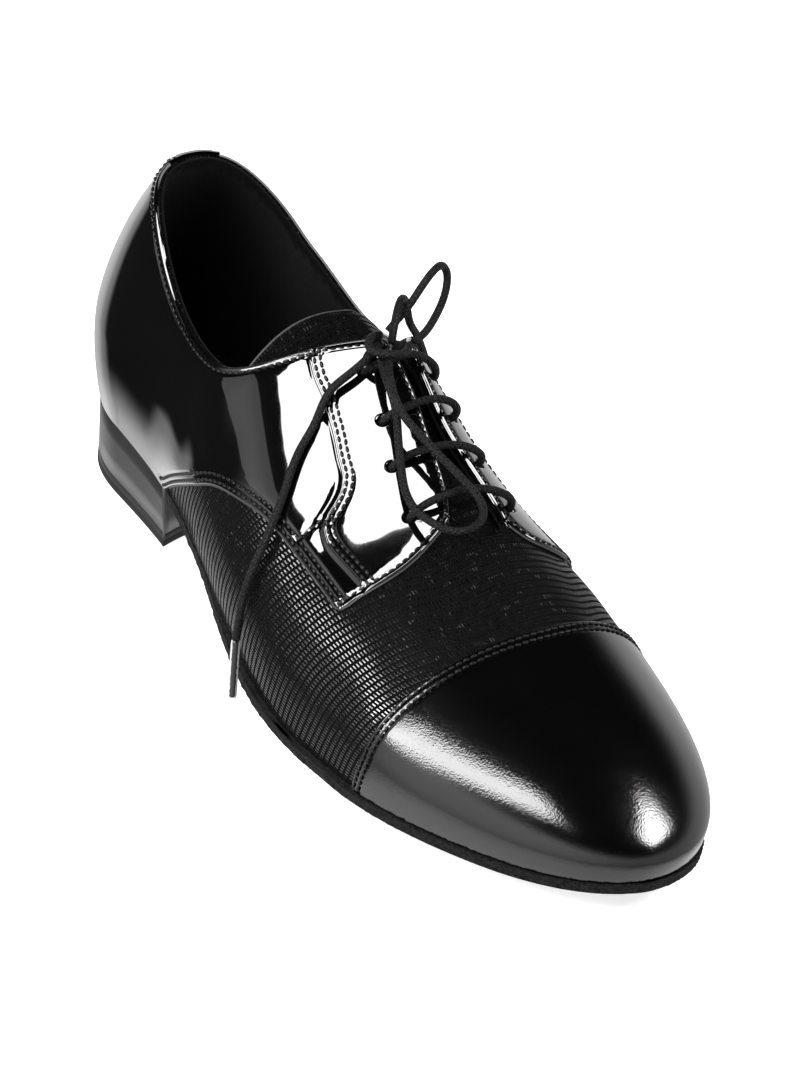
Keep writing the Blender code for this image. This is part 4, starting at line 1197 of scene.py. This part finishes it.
def lace_look():
    """A round waxed braid: two crossing helices of yarn, a little fuzz, painted shade between yarns and
    painted glints.
    """
    look = Look("lace", (0.006, 0.006, 0.006), 0.5, Specular_IOR_Level=0.15)
    along, around = look.layout()
    turns = look.math("MULTIPLY", around, 6.0)
    lay = look.math("DIVIDE", along, 0.17)
    yarns = []
    for way in ("ADD", "SUBTRACT"):
        phase = look.math("MULTIPLY", look.math(way, lay, turns), math.pi)
        yarns.append(look.math("ABSOLUTE", look.math("SINE", phase)))
    braid_and_groove_shade = look.math("MULTIPLY", *yarns)
    fuzz = look.noise(1500, 4.0, 0.65)
    painted_fuzz_glints = look.ramp(fuzz, 0.38, 0.72)
    # The colour is darkest in the grooves between the yarns, a painted shade, and lighter in specks, painted
    # glints on the fuzz.
    tone = look.math("ADD", look.math("MULTIPLY", braid_and_groove_shade, 0.35), look.math("MULTIPLY", painted_fuzz_glints, 0.75))
    look.feed("Base Color", look.colours(tone, (0.0008, 0.0008, 0.0008), (0.0125, 0.0123, 0.0121)))
    yarn = look.bump(braid_and_groove_shade, 0.25, 0.9)
    look.feed("Normal", look.bump(fuzz, 0.12, 0.7, yarn))
    return look.item


def thread_look():
    """Waxed thread."""
    look = Look("thread", (0.003, 0.003, 0.003), 0.34, Specular_IOR_Level=0.35)
    look.feed("Normal", look.bump(look.noise(2500, 2.0), 0.03, 0.5))
    return look.item


def aglet_look():
    """A clear sheath over the dark cord: its colour turns light along both rims by the viewing angle, a
    painted reflection.
    """
    look = Look("aglet", (0.3, 0.3, 0.3), 0.12, Coat_Weight=0.6, Coat_Roughness=0.05)
    # Painted reflection: the base colour turns light where the surface turns away from the view, broken up by
    # noise.
    rim = look.node("ShaderNodeLayerWeight").outputs["Facing"]
    rim_reflection_blotch = look.math("MULTIPLY", look.noise(900, 3.0), 0.35)
    painted_rim_reflection = look.ramp(look.math("ADD", rim, rim_reflection_blotch), 0.36, 0.56)
    look.feed("Base Color", look.colours(painted_rim_reflection, (0.006, 0.006, 0.006), (0.42, 0.42, 0.425)))
    look.feed("Normal", look.bump(look.noise(700, 2.0), 0.05, 0.5))
    return look.item


def floor_look():
    """A white sweep that gives off a little light."""
    look = Look("floor", (0.8, 0.8, 0.8), 0.9, Specular_IOR_Level=0.1, Emission_Color=(1.0, 1.0, 1.0, 1.0),
                Emission_Strength=0.74)
    tone = look.colours(look.noise(3.0, 2.0), (0.79, 0.79, 0.79), (0.81, 0.81, 0.81))
    look.feed("Base Color", tone)
    return look.item


def make_camera():
    """The photograph's view."""
    azimuth, elevation, tilt = (math.radians(x) for x in (CAMERA_AZIMUTH, CAMERA_ELEVATION, CAMERA_ROLL))
    out = math.cos(elevation)
    back = Vector((math.sin(azimuth) * out, -math.cos(azimuth) * out, math.sin(elevation)))
    level = Vector((math.cos(azimuth), math.sin(azimuth), 0.0))
    rise = back.cross(level)
    right = level * math.cos(tilt) + rise * math.sin(tilt)
    up = rise * math.cos(tilt) - level * math.sin(tilt)
    spot = Vector(CAMERA_TARGET) + back * CAMERA_DISTANCE + right * CAMERA_SHIFT[0] + up * CAMERA_SHIFT[1]
    data = bpy.data.cameras.new("camera")
    data.sensor_fit = "VERTICAL"
    data.sensor_height = SENSOR
    data.lens = FOCAL_PIXELS * SENSOR / IMAGE_HEIGHT
    data.clip_end = CAMERA_FAR
    item = bpy.data.objects.new("camera", data)
    bpy.context.collection.objects.link(item)
    turn = Matrix((right, up, back)).transposed().to_4x4()
    item.matrix_world = Matrix.Translation(spot * MM) @ turn
    bpy.context.scene.camera = item


def soft_box(name, spot, aim, size, power, tilt):
    """A rectangular studio lamp that looks at a point."""
    data = bpy.data.lights.new(name, "AREA")
    data.shape = "RECTANGLE"
    data.size, data.size_y = size
    data.energy = power
    item = bpy.data.objects.new(name, data)
    item.location = spot
    turn = (Vector(aim) - Vector(spot)).to_track_quat("-Z", "Y")
    item.rotation_euler = (turn @ Quaternion((0.0, 0.0, 1.0), math.radians(tilt))).to_euler()
    item.visible_glossy = name != LAMP_WITHOUT_REFLECTION
    bpy.context.collection.objects.link(item)
    return item


def flag(lamp, state, pieces):
    """Studio flags: the lamp lights only these pieces, or all but these."""
    group = bpy.data.collections.new(lamp.name + "_flag")
    for piece in pieces:
        group.objects.link(piece)
    for row in group.collection_objects:
        row.light_linking.link_state = state
    lamp.light_linking.receiver_collection = group


def make_floor():
    """A wide white floor."""
    half = FLOOR_HALF
    mesh = bpy.data.meshes.new("floor")
    corners = [(-half, -half, 0), (half, -half, 0), (half, half, 0), (-half, half, 0)]
    mesh.from_pydata(corners, [], [(0, 1, 2, 3)])
    mesh.materials.append(floor_look())
    floor = bpy.data.objects.new("floor", mesh)
    floor.visible_glossy = False
    bpy.context.collection.objects.link(floor)


def make_stage(quarters, cap, vamp, tongue):
    """Floor, lamps and surroundings."""
    make_floor()
    flags = {
        "key_low": ("EXCLUDE", [cap, vamp, tongue]),
        "key_high": ("INCLUDE", quarters),
        "glint": ("INCLUDE", [vamp]),
    }
    for name, row in LAMPS.items():
        lamp = soft_box(name, *row)
        if name in flags:
            flag(lamp, *flags[name])
    make_world()
    bpy.context.scene.view_settings.view_transform = "Standard"


def ramp_of(tree, stops, low, high):
    """Grey levels by a value between low and high."""
    made = tree.nodes.new("ShaderNodeValToRGB")
    made.color_ramp.interpolation = "EASE"
    while len(made.color_ramp.elements) < len(stops):
        made.color_ramp.elements.new(0.5)
    for stop, (value, light) in zip(made.color_ramp.elements, stops):
        stop.position = (value - low) / (high - low)
        stop.color = (light, light, light, 1.0)
    return made


def make_world():
    """Dim surroundings: near black above, a pale horizon behind and to the right, pale ground close by."""
    world = bpy.data.worlds.new("world")
    bpy.context.scene.world = world
    world.use_nodes = True
    tree = world.node_tree
    new = tree.nodes.new
    link = tree.links.new
    sky = tree.nodes["Background"]
    split = new("ShaderNodeSeparateXYZ")
    link(new("ShaderNodeTexCoord").outputs["Generated"], split.inputs[0])
    turn = new("ShaderNodeMath")
    turn.operation = "ARCTAN2"
    link(split.outputs["X"], turn.inputs[0])
    link(split.outputs["Y"], turn.inputs[1])
    share = new("ShaderNodeMapRange")
    share.inputs["From Min"].default_value = -math.pi
    share.inputs["From Max"].default_value = math.pi
    link(turn.outputs[0], share.inputs["Value"])
    around = ramp_of(tree, HORIZON, -180.0, 180.0)
    link(share.outputs["Result"], around.inputs["Fac"])
    link(around.outputs["Color"], sky.inputs["Color"])
    rise = new("ShaderNodeMapRange")
    rise.inputs["From Min"].default_value = -1.0
    link(split.outputs["Z"], rise.inputs["Value"])
    below = new("ShaderNodeBackground")
    for stops, target in ((SKY, sky.inputs["Strength"]), (GROUND, below.inputs["Color"])):
        height = ramp_of(tree, stops, -1.0, 1.0)
        link(rise.outputs["Result"], height.inputs["Fac"])
        link(height.outputs["Color"], target)
    both = new("ShaderNodeAddShader")
    link(sky.outputs[0], both.inputs[0])
    link(below.outputs[0], both.inputs[1])
    link(both.outputs[0], tree.nodes["World Output"].inputs["Surface"])


def aglet_profile(t):
    """A lace tip is a little narrower at its ends."""
    return 1 - AGLET_NARROW + AGLET_NARROW * min(1.0, AGLET_ENDS * t, AGLET_ENDS * (1 - t))


def make_cords():
    """The lace: knot, tips, free runs and bars."""
    lace = lace_look()
    clear = aglet_look()
    knot, _ = tube("lace_knot_turns", KNOT_ROUTE, LACE_RADIUS, lace, ["lace_knot"], step=KNOT_STEP)
    tips = {}
    for name, route in AGLETS.items():
        end = name.split("_")[1]
        tips[end], _ = tube("lace_tip_" + end, route, AGLET_RADIUS, clear, [name], AGLET_SIDES,
                            AGLET_STEP, aglet_profile)
    for name, route in LACE_ROUTES.items():
        piece, line = tube(name + "_cord", route, LACE_RADIUS, lace, [name])
        end = name.split("_")[2]
    for name, rows in LACE_BARS.items():
        tube(name + "_cord", bar_route(rows), LACE_RADIUS, lace, [name], step=BAR_STEP)


class Pattern:
    """The flat outlines of every piece of the upper."""

    def __init__(self):
        self.topline = flat_line([(side, a, v) for side in SIDES for a, v in TOPLINE[side]])
        self.throat = flat_line(THROAT_END)
        tables = (FACING, QUARTER_EDGE, QUARTER_FRONT, STAY_SEAM, STAY_LEG, STAY_BRANCH)
        lines = [{side: side_line(side, rows[side]) for side in SIDES} for rows in tables]
        self.facing, self.edge, self.front, self.seam, self.leg, self.branch = lines
        self.cap = cap_line()
        self.rings = {side: [eyelet_ring(side, a, v) for a, v in EYELETS[side]] for side in SIDES}
        self.opening = np.concatenate([self.facing[LATERAL][:-1], self.throat[:-1],
                                       self.facing[MEDIAL][::-1][:-1], self.topline[::-1][:-1]])
        self.middle = int(np.argmin(self.topline[:, 1]))
        top = TOPLINE[LATERAL][-1][1]
        self.back = np.array([flat(0.0, LATERAL, top * (1 - i / BACK_ROWS)) for i in range(BACK_ROWS + 1)])
        self.heel_point = flat(0.0, LATERAL, 0.0)[None]
        self.toe_point = flat(TOE_TIP, LATERAL, 0.0)[None]
        self.outline = np.concatenate([self.heel_point, feather(LATERAL, 0.0, TOE_TIP), self.toe_point,
                                       feather(MEDIAL, TOE_TIP, 0.0)])

    def half_topline(self, side):
        """From the front corner to the back."""
        return self.topline[:self.middle + 1] if side == LATERAL else self.topline[self.middle:][::-1]

    def quarter(self, side):
        """Outline of one quarter with its facing."""
        return np.concatenate([
            self.edge[side][:-1], self.front[side][:-1], self.facing[side][::-1][:-1],
            self.half_topline(side)[:-1], self.back[:-1], self.heel_point, feather(side, 0.0, QUARTER_START)])

    def stay(self, side):
        """Outline of the lace stay, past the panel's own edges, and its seam."""
        seam = np.concatenate([self.seam[side][:-1], self.branch[side]])
        beyond = np.array([flat(a, side, v) for a, v in STAY_BEYOND])
        return np.concatenate([seam, beyond]), seam

    def toe_cap(self):
        """Outline of the toe cap."""
        start = cap_place(LATERAL, 0.0)
        end = cap_place(MEDIAL, 0.0)
        return np.concatenate([self.cap, feather(MEDIAL, end, TOE_TIP), self.toe_point,
                               feather(LATERAL, TOE_TIP, start)])

    def tab(self):
        """The back tab's lower edge, and the topline over it."""
        half = {}
        for side in SIDES:
            corner = (TAB_A, dict(TOPLINE[side])[TAB_A])
            half[side] = [(side, a, v) for a, v in (corner, *TAB_EDGE)]
        lower = flat_line(half[LATERAL] + [(LATERAL, 0.0, TAB_V)] + half[MEDIAL][::-1], TAB_STEP)
        a, _, _ = unflat(self.topline)
        return lower, self.topline[a < TAB_A - TAB_CLEAR][::-1]


def inner_side(line, distance, loop):
    """A line moved into a region by a true distance, cut to what lies within it."""
    moved = shift(line, distance)
    if inside(moved, loop).mean() < 0.5:
        moved = shift(line, -distance)
    return moved[inside(moved, loop)]


def cut_edge(name, line, look):
    """The thin rim where a leather piece is cut; its grey is partly a painted highlight line."""
    spot, normal = on_last(line)
    tube(name, (spot + EDGE_HEIGHT * normal)[::2], EDGE_RADIUS, look, [], EDGE_SIDES, EDGE_STEP)


def make_upper(pattern, looks):
    """Vamp and lining, the two skins of one wall."""
    holes = [pattern.opening] + pattern.rings[LATERAL] + pattern.rings[MEDIAL]
    plan, faces = fill(pattern.outline, holes, [], VAMP_SPACING)
    spot, normal = on_last(plan)
    shell = two_skins(outward(spot, faces, normal), len(spot))
    layout = np.tile(layout_of(plan), (2, 1))
    outside = np.concatenate([shade_normal(plan), -normal])
    mesh = make_mesh("vamp", np.concatenate([spot, spot - SKIN * normal]), shell, layout, outside)
    vamp = finish_piece("vamp", mesh, [looks["vamp"]], ["upper"])
    skins = np.concatenate([spot - (SKIN + LINING_GAP) * normal, spot - WALL * normal])
    mesh = make_mesh("lining", skins, shell, layout)
    finish_piece("lining", mesh, [looks["lining"]], [])
    return vamp


def quarter_rows(pattern, side):
    """Stitch rows on the quarter itself, and those on its raised lace stay."""
    loop = pattern.quarter(side)
    stay = pattern.stay(side)[0]
    below = [inner_side(pattern.half_topline(side), TOPLINE_ROW, loop)]
    below += [inner_side(pattern.edge[side], distance, loop) for distance in EDGE_ROWS]
    below.append(inner_side(pattern.leg[side], LEG_ROW, loop))
    raised = [inner_side(pattern.front[side], FRONT_ROW, loop)]
    raised.append(inner_side(pattern.facing[side], FACING_ROW, loop))
    for line in (pattern.seam[side], pattern.branch[side]):
        raised += [inner_side(line, distance, stay) for distance in SEAM_ROWS]
    return below, raised


def make_quarters(pattern, looks):
    """Both quarters with their thread and cut edges."""
    made = []
    for side, name in ((LATERAL, "quarter_lateral"), (MEDIAL, "quarter_medial")):
        rolled = [pattern.edge[side], pattern.front[side], pattern.facing[side], pattern.half_topline(side)]
        below, raised = quarter_rows(pattern, side)
        creases = [row for row in CREASES if row[0] == side]
        made.append(panel(
            name + "_leather", pattern.quarter(side), pattern.rings[side], rolled, below + raised, PANEL_LOW,
            PANEL_TOP, looks["patent"], [name], pattern.stay(side), creases=creases,
            back_gap=side * BACK_GAP))
        runs = [(line, PANEL_TOP) for line in below] + [(line, PANEL_TOP + STAY_STEP) for line in raised]
        stitches("stitches_" + name, runs, looks["thread"])
        rim = np.concatenate([pattern.edge[side][EDGE_START:-1], pattern.front[side]])
        cut_edge(name + "_edge", rim, looks["edge"])
    return made


def make_cap(pattern, looks):
    """The toe cap with its two rows of thread."""
    loop = pattern.toe_cap()
    lines = [inner_side(pattern.cap, distance, loop) for distance in CAP_ROWS]
    leather = panel("toe_cap_leather", loop, [], [pattern.cap], lines, PANEL_LOW, PANEL_TOP,
                    looks["cap"], ["toe_cap"], uneven=CAP_UNEVEN)
    stitches("stitches_toe_cap", [(line, PANEL_TOP + CAP_THREAD) for line in lines], looks["thread"])
    return leather


def make_tab(pattern, looks):
    """The back tab with its row of thread."""
    lower, upper = pattern.tab()
    loop = np.concatenate([lower, upper])
    rolled = [lower, np.concatenate([lower[-1:], upper, lower[:1]])]
    line = inner_side(lower, TAB_ROW, loop)
    panel("back_tab_leather", loop, [], rolled, [line], TAB_LOW, TAB_TOP, looks["patent"],
          ["back_tab"], uneven=TAB_UNEVEN, spacing=TAB_SPACING)
    stitches("stitches_back_tab", [(line, TAB_TOP)], looks["thread"])


def tongue_point(a, side, v):
    """The tongue lies under the facings, flatter than they are and deeper towards its top."""
    spot = last_point(a, float(side), v)
    ridge = last_point(min(a, TOE_START), float(side), 1.0)[2]
    depth = float(TONGUE_TABLE["depth"](a))
    return np.array([spot[0], spot[1], ridge - depth - TONGUE_FOLLOW * (ridge - spot[2])])


def make_tongue(looks):
    """Rows from its curved top edge to its root, each from the lateral to the medial edge."""
    final = TONGUE_ROWS[-1][0]
    top = spline([row[0] for row in TONGUE_TOP], [row[1] for row in TONGUE_TOP])
    wide = 2 * TONGUE_STEPS + 1
    rows = []
    for i in range(TONGUE_LINES):
        for j in range(wide):
            start = float(top(j / (wide - 1)))
            a = start + (final - start) * i / (TONGUE_LINES - 1)
            side = LATERAL if j <= TONGUE_STEPS else MEDIAL
            low = float(TONGUE_TABLE["lateral" if side == LATERAL else "medial"](a))
            rows.append(tongue_point(a, side, 1 - (1 - low) * abs(j - TONGUE_STEPS) / TONGUE_STEPS))
    outer = np.array(rows)
    cells = [i * wide + j for i in range(TONGUE_LINES - 1) for j in range(wide - 1)]
    faces = np.array([(k, k + 1, k + wide + 1) for k in cells] + [(k, k + wide + 1, k + wide) for k in cells])
    faces = outward(outer, faces, np.tile([0.0, 0.0, 1.0], (len(outer), 1)))
    layout = np.column_stack([outer[:, 1], outer[:, 0]]) / CM
    skins = np.concatenate([outer, outer - np.array([0.0, 0.0, TONGUE])])
    mesh = make_mesh("tongue", skins, two_skins(faces, len(outer)), np.tile(layout, (2, 1)))
    tongue = finish_piece("tongue_leather", mesh, [looks["vamp"]], ["tongue"])
    # The rim takes the cut edge's look, whose grey is partly a painted highlight.
    rim = outer[:wide] + np.array(TONGUE_RIM_PLACE)
    tube("tongue_rim", rim[::2], TONGUE_RIM, looks["edge"], [], EDGE_SIDES, 1.0)
    return tongue


def seat(s):
    """Height of the feather edge along the shoe, with the rise at the heel back."""
    s = np.asarray(s, float)
    back = np.clip((HEEL_CENTRE - s) / HEEL_REACH, 0, 1.2)
    return HEIGHT["feather"](s) + back ** HEEL_POWER


def edge_points(side, places, margin):
    """Plan of the feather edge moved outward by a margin."""
    places = np.asarray(places, float)
    spot = last_point(places, float(side), 0.0)
    normal = last_normal(places, np.full(len(places), float(side)), np.zeros(len(places)))
    return spot[:, :2] + normal[:, :2] * np.asarray(margin, float)[..., None]


def breast_points(left, right, count, gap=0.0):
    """The hollow front face of the heel between two corners."""
    rows = []
    for i in range(1, count):
        t = i / count
        x = right[0] + (left[0] - right[0]) * t
        rows.append((x, BREAST_S - BREAST_HOLLOW * (1 - (2 * t - 1) ** 2) + gap))
    return np.array(rows)


def ring_normals(outline):
    """Outward directions in plan along an outline."""
    tangent = unit(np.roll(outline, -1, 0) - np.roll(outline, 1, 0))
    across = np.column_stack([tangent[:, 1], -tangent[:, 0]])
    x, y = outline.T
    area = (x * np.roll(y, -1) - np.roll(x, -1) * y).sum()
    return across if area > 0 else -across


def fray(spot):
    """Rough cut suede, coarse and fine."""
    return sum(height * noise.noise(tuple(fine * c for c in spot)) for height, fine in FRAY)


def wall_rows(outline, foot, top, bottom, edge, rough):
    """Rows of points down a plate's wall, with a turned-in rim at both ends."""
    normals = ring_normals(outline)
    foot_normals = ring_normals(foot)
    z_top = top(outline[:, 1])
    z_low = bottom(outline[:, 1])
    rims = ((RIM_OUT, 0.0), (RIM_OUT, 1.0))
    levels = [(1.0, t) for t in (FRAYED_LEVELS if rough else WALL_LEVELS)]
    rows = []
    for out, t in (rims[0], *levels, rims[1]):
        across = unit(normals * (1 - t) + foot_normals * t)
        ring = outline * (1 - t) + foot * t - across * (edge * (1 - out))
        level = z_top + (z_low - z_top) * t
        if out == 1.0:
            level = level + edge * RIM_ROUND * ((t == 1.0) - (t == 0.0))
        if rough and out == 1.0:
            jitter = [fray((*spot, z)) for spot, z in zip(ring, level)]
            ring = ring + across * (rough * np.array(jitter))[:, None]
        rows.append(np.column_stack([ring, level]))
    return rows


def slab(name, outline, top, bottom, look, nodes, move=None, edge=0.5, rough=0.0):
    """A thick plate over a plan outline, with rounded rims and a wall in several rows."""
    normals = ring_normals(outline)
    inset = outline - normals * edge
    plan, faces = fill(inset, [], [inset - normals * PLATE_ROW], PLATE_SPACING)
    upper = np.column_stack([plan, top(plan[:, 1])])
    lower = np.column_stack([move(plan) if move else plan, bottom(plan[:, 1])])
    turned = outward(upper, faces, np.tile([0.0, 0.0, 1.0], (len(plan), 1)))
    shell = turned.tolist() + (turned[:, ::-1] + len(plan)).tolist()
    wall = wall_rows(outline, move(outline) if move else outline, top, bottom, edge, rough)
    points = np.concatenate([upper, lower] + wall)
    count = len(outline)
    rim = [int(np.argmin(np.linalg.norm(plan - p, axis=1))) for p in inset]
    starts = [2 * len(plan) + i * count for i in range(len(wall))]
    rings = [rim] + [range(start, start + count) for start in starts] + [[k + len(plan) for k in rim]]
    quads = []
    for one, two in zip(rings, rings[1:]):
        for i in range(count):
            j = (i + 1) % count
            quads.append((one[i], one[j], two[j], two[i]))
    face = points[list(quads[-1 - count // 2])]
    centre = np.append(outline.mean(0), 0.0)
    way = np.cross(face[1] - face[0], face[2] - face[0]) @ (face.mean(0) - centre)
    if way > 0:
        quads = [tuple(reversed(f)) for f in quads]
    mesh = make_mesh(name, points, shell + quads)
    return finish_piece(name, mesh, [look], nodes)


def outsole_margin(places):
    """How far the sole stands out: little at the waist, more at the ball."""
    t = np.clip((np.asarray(places, float) - WAIST_A) / (FORE_A - WAIST_A), 0, 1)
    return OUTSOLE_EDGE_WAIST + (OUTSOLE_EDGE_FORE - OUTSOLE_EDGE_WAIST) * t * t * (3 - 2 * t)


def make_sole(looks):
    """Suede outsole and the sock inside."""
    places = np.concatenate([np.arange(QUARTER_START, TOE_START, 0.9), np.linspace(TOE_START, TOE_TIP, 140)])
    margin = outsole_margin(places)
    near = edge_points(LATERAL, places, margin)
    far = edge_points(MEDIAL, places, margin)[::-1][1:]
    near[0, 1] = BREAST_S + SOLE_GAP
    far[-1, 1] = BREAST_S + SOLE_GAP
    outline = np.concatenate([near, far, breast_points(near[0], far[-1], BREAST_STEPS, SOLE_GAP)])
    slab("outsole_suede", outline, lambda s: seat(s) - SOLE_GAP + SOLE_OVERLAP,
         lambda s: np.maximum(seat(s) - SOLE_GAP - OUTSOLE, 0.0), looks["sole"], ["outsole"],
         edge=SOLE_RIM, rough=SOLE_FRAY)
    places = np.concatenate([np.linspace(0, QUARTER_TURN, 40)[:-1], np.arange(QUARTER_TURN, TOE_START, 2.5),
                             np.linspace(TOE_START, TOE_TIP, 50)])
    inset = np.full(len(places), -WALL - INSOLE_INSET)
    near = edge_points(LATERAL, places, inset)
    far = edge_points(MEDIAL, places, inset)[::-1][1:-1]
    outline = np.concatenate([near, far])
    slab("insole_sock", outline, lambda s: seat(s) + INSOLE_RISE + INSOLE, lambda s: seat(s) + INSOLE_RISE,
         looks["lining"], ["insole"])


def heel_outline(margin):
    """Plan of the heel's upper end, with its hollow front."""
    around = np.linspace(0, QUARTER_TURN, 50)[:-1]
    places = np.concatenate([around, np.arange(QUARTER_TURN, QUARTER_START, 2.0), [QUARTER_START]])
    near = edge_points(LATERAL, places, np.full(len(places), margin))
    far = edge_points(MEDIAL, places, np.full(len(places), margin))[1:]
    near[-1, 1] = BREAST_S
    far[-1, 1] = BREAST_S
    return np.concatenate([near, breast_points(far[-1], near[-1], BREAST_STEPS), far[::-1]])


def heel_foot(plan):
    """Plan of the heel's lower end."""
    return np.column_stack([plan[:, 0] * HEEL_TAPER, plan[:, 1] + HEEL_FORWARD])


def make_heel(looks):
    """Heel block and its top piece."""
    outline = heel_outline(HEEL_MARGIN)
    slab("heel_stack", outline, lambda s: seat(s) - GAP + HEEL_OVERLAP,
         lambda s: np.full(len(s), LIFT + LIFT_GAP), looks["heel"], ["heel_block"], heel_foot,
         edge=HEEL_RIM)
    slab("heel_top_piece", heel_foot(outline), lambda s: np.full(len(s), LIFT), lambda s: np.zeros(len(s)),
         looks["lift"], ["heel_lift"], edge=LIFT_RIM)


make_camera()
make_cords()
LOOKS = {
    "patent": patent_look(),
    "cap": cap_look(),
    "vamp": vamp_look(),
    "lining": suede_look("lining", (0.0016, 0.0016, 0.0016), (0.0006, 0.0006, 0.0006)),
    "sole": suede_look("sole", (0.012, 0.0117, 0.0114), (0.001, 0.001, 0.001), 1100, 0.5),
    "edge": edge_and_highlight_look(),
    "heel": heel_look(),
    "lift": rubber_look(),
    "thread": thread_look(),
}
PATTERN = Pattern()
VAMP = make_upper(PATTERN, LOOKS)
QUARTERS = make_quarters(PATTERN, LOOKS)
CAP = make_cap(PATTERN, LOOKS)
make_tab(PATTERN, LOOKS)
TONGUE_PIECE = make_tongue(LOOKS)
make_sole(LOOKS)
make_heel(LOOKS)
make_stage(QUARTERS, CAP, VAMP, TONGUE_PIECE)
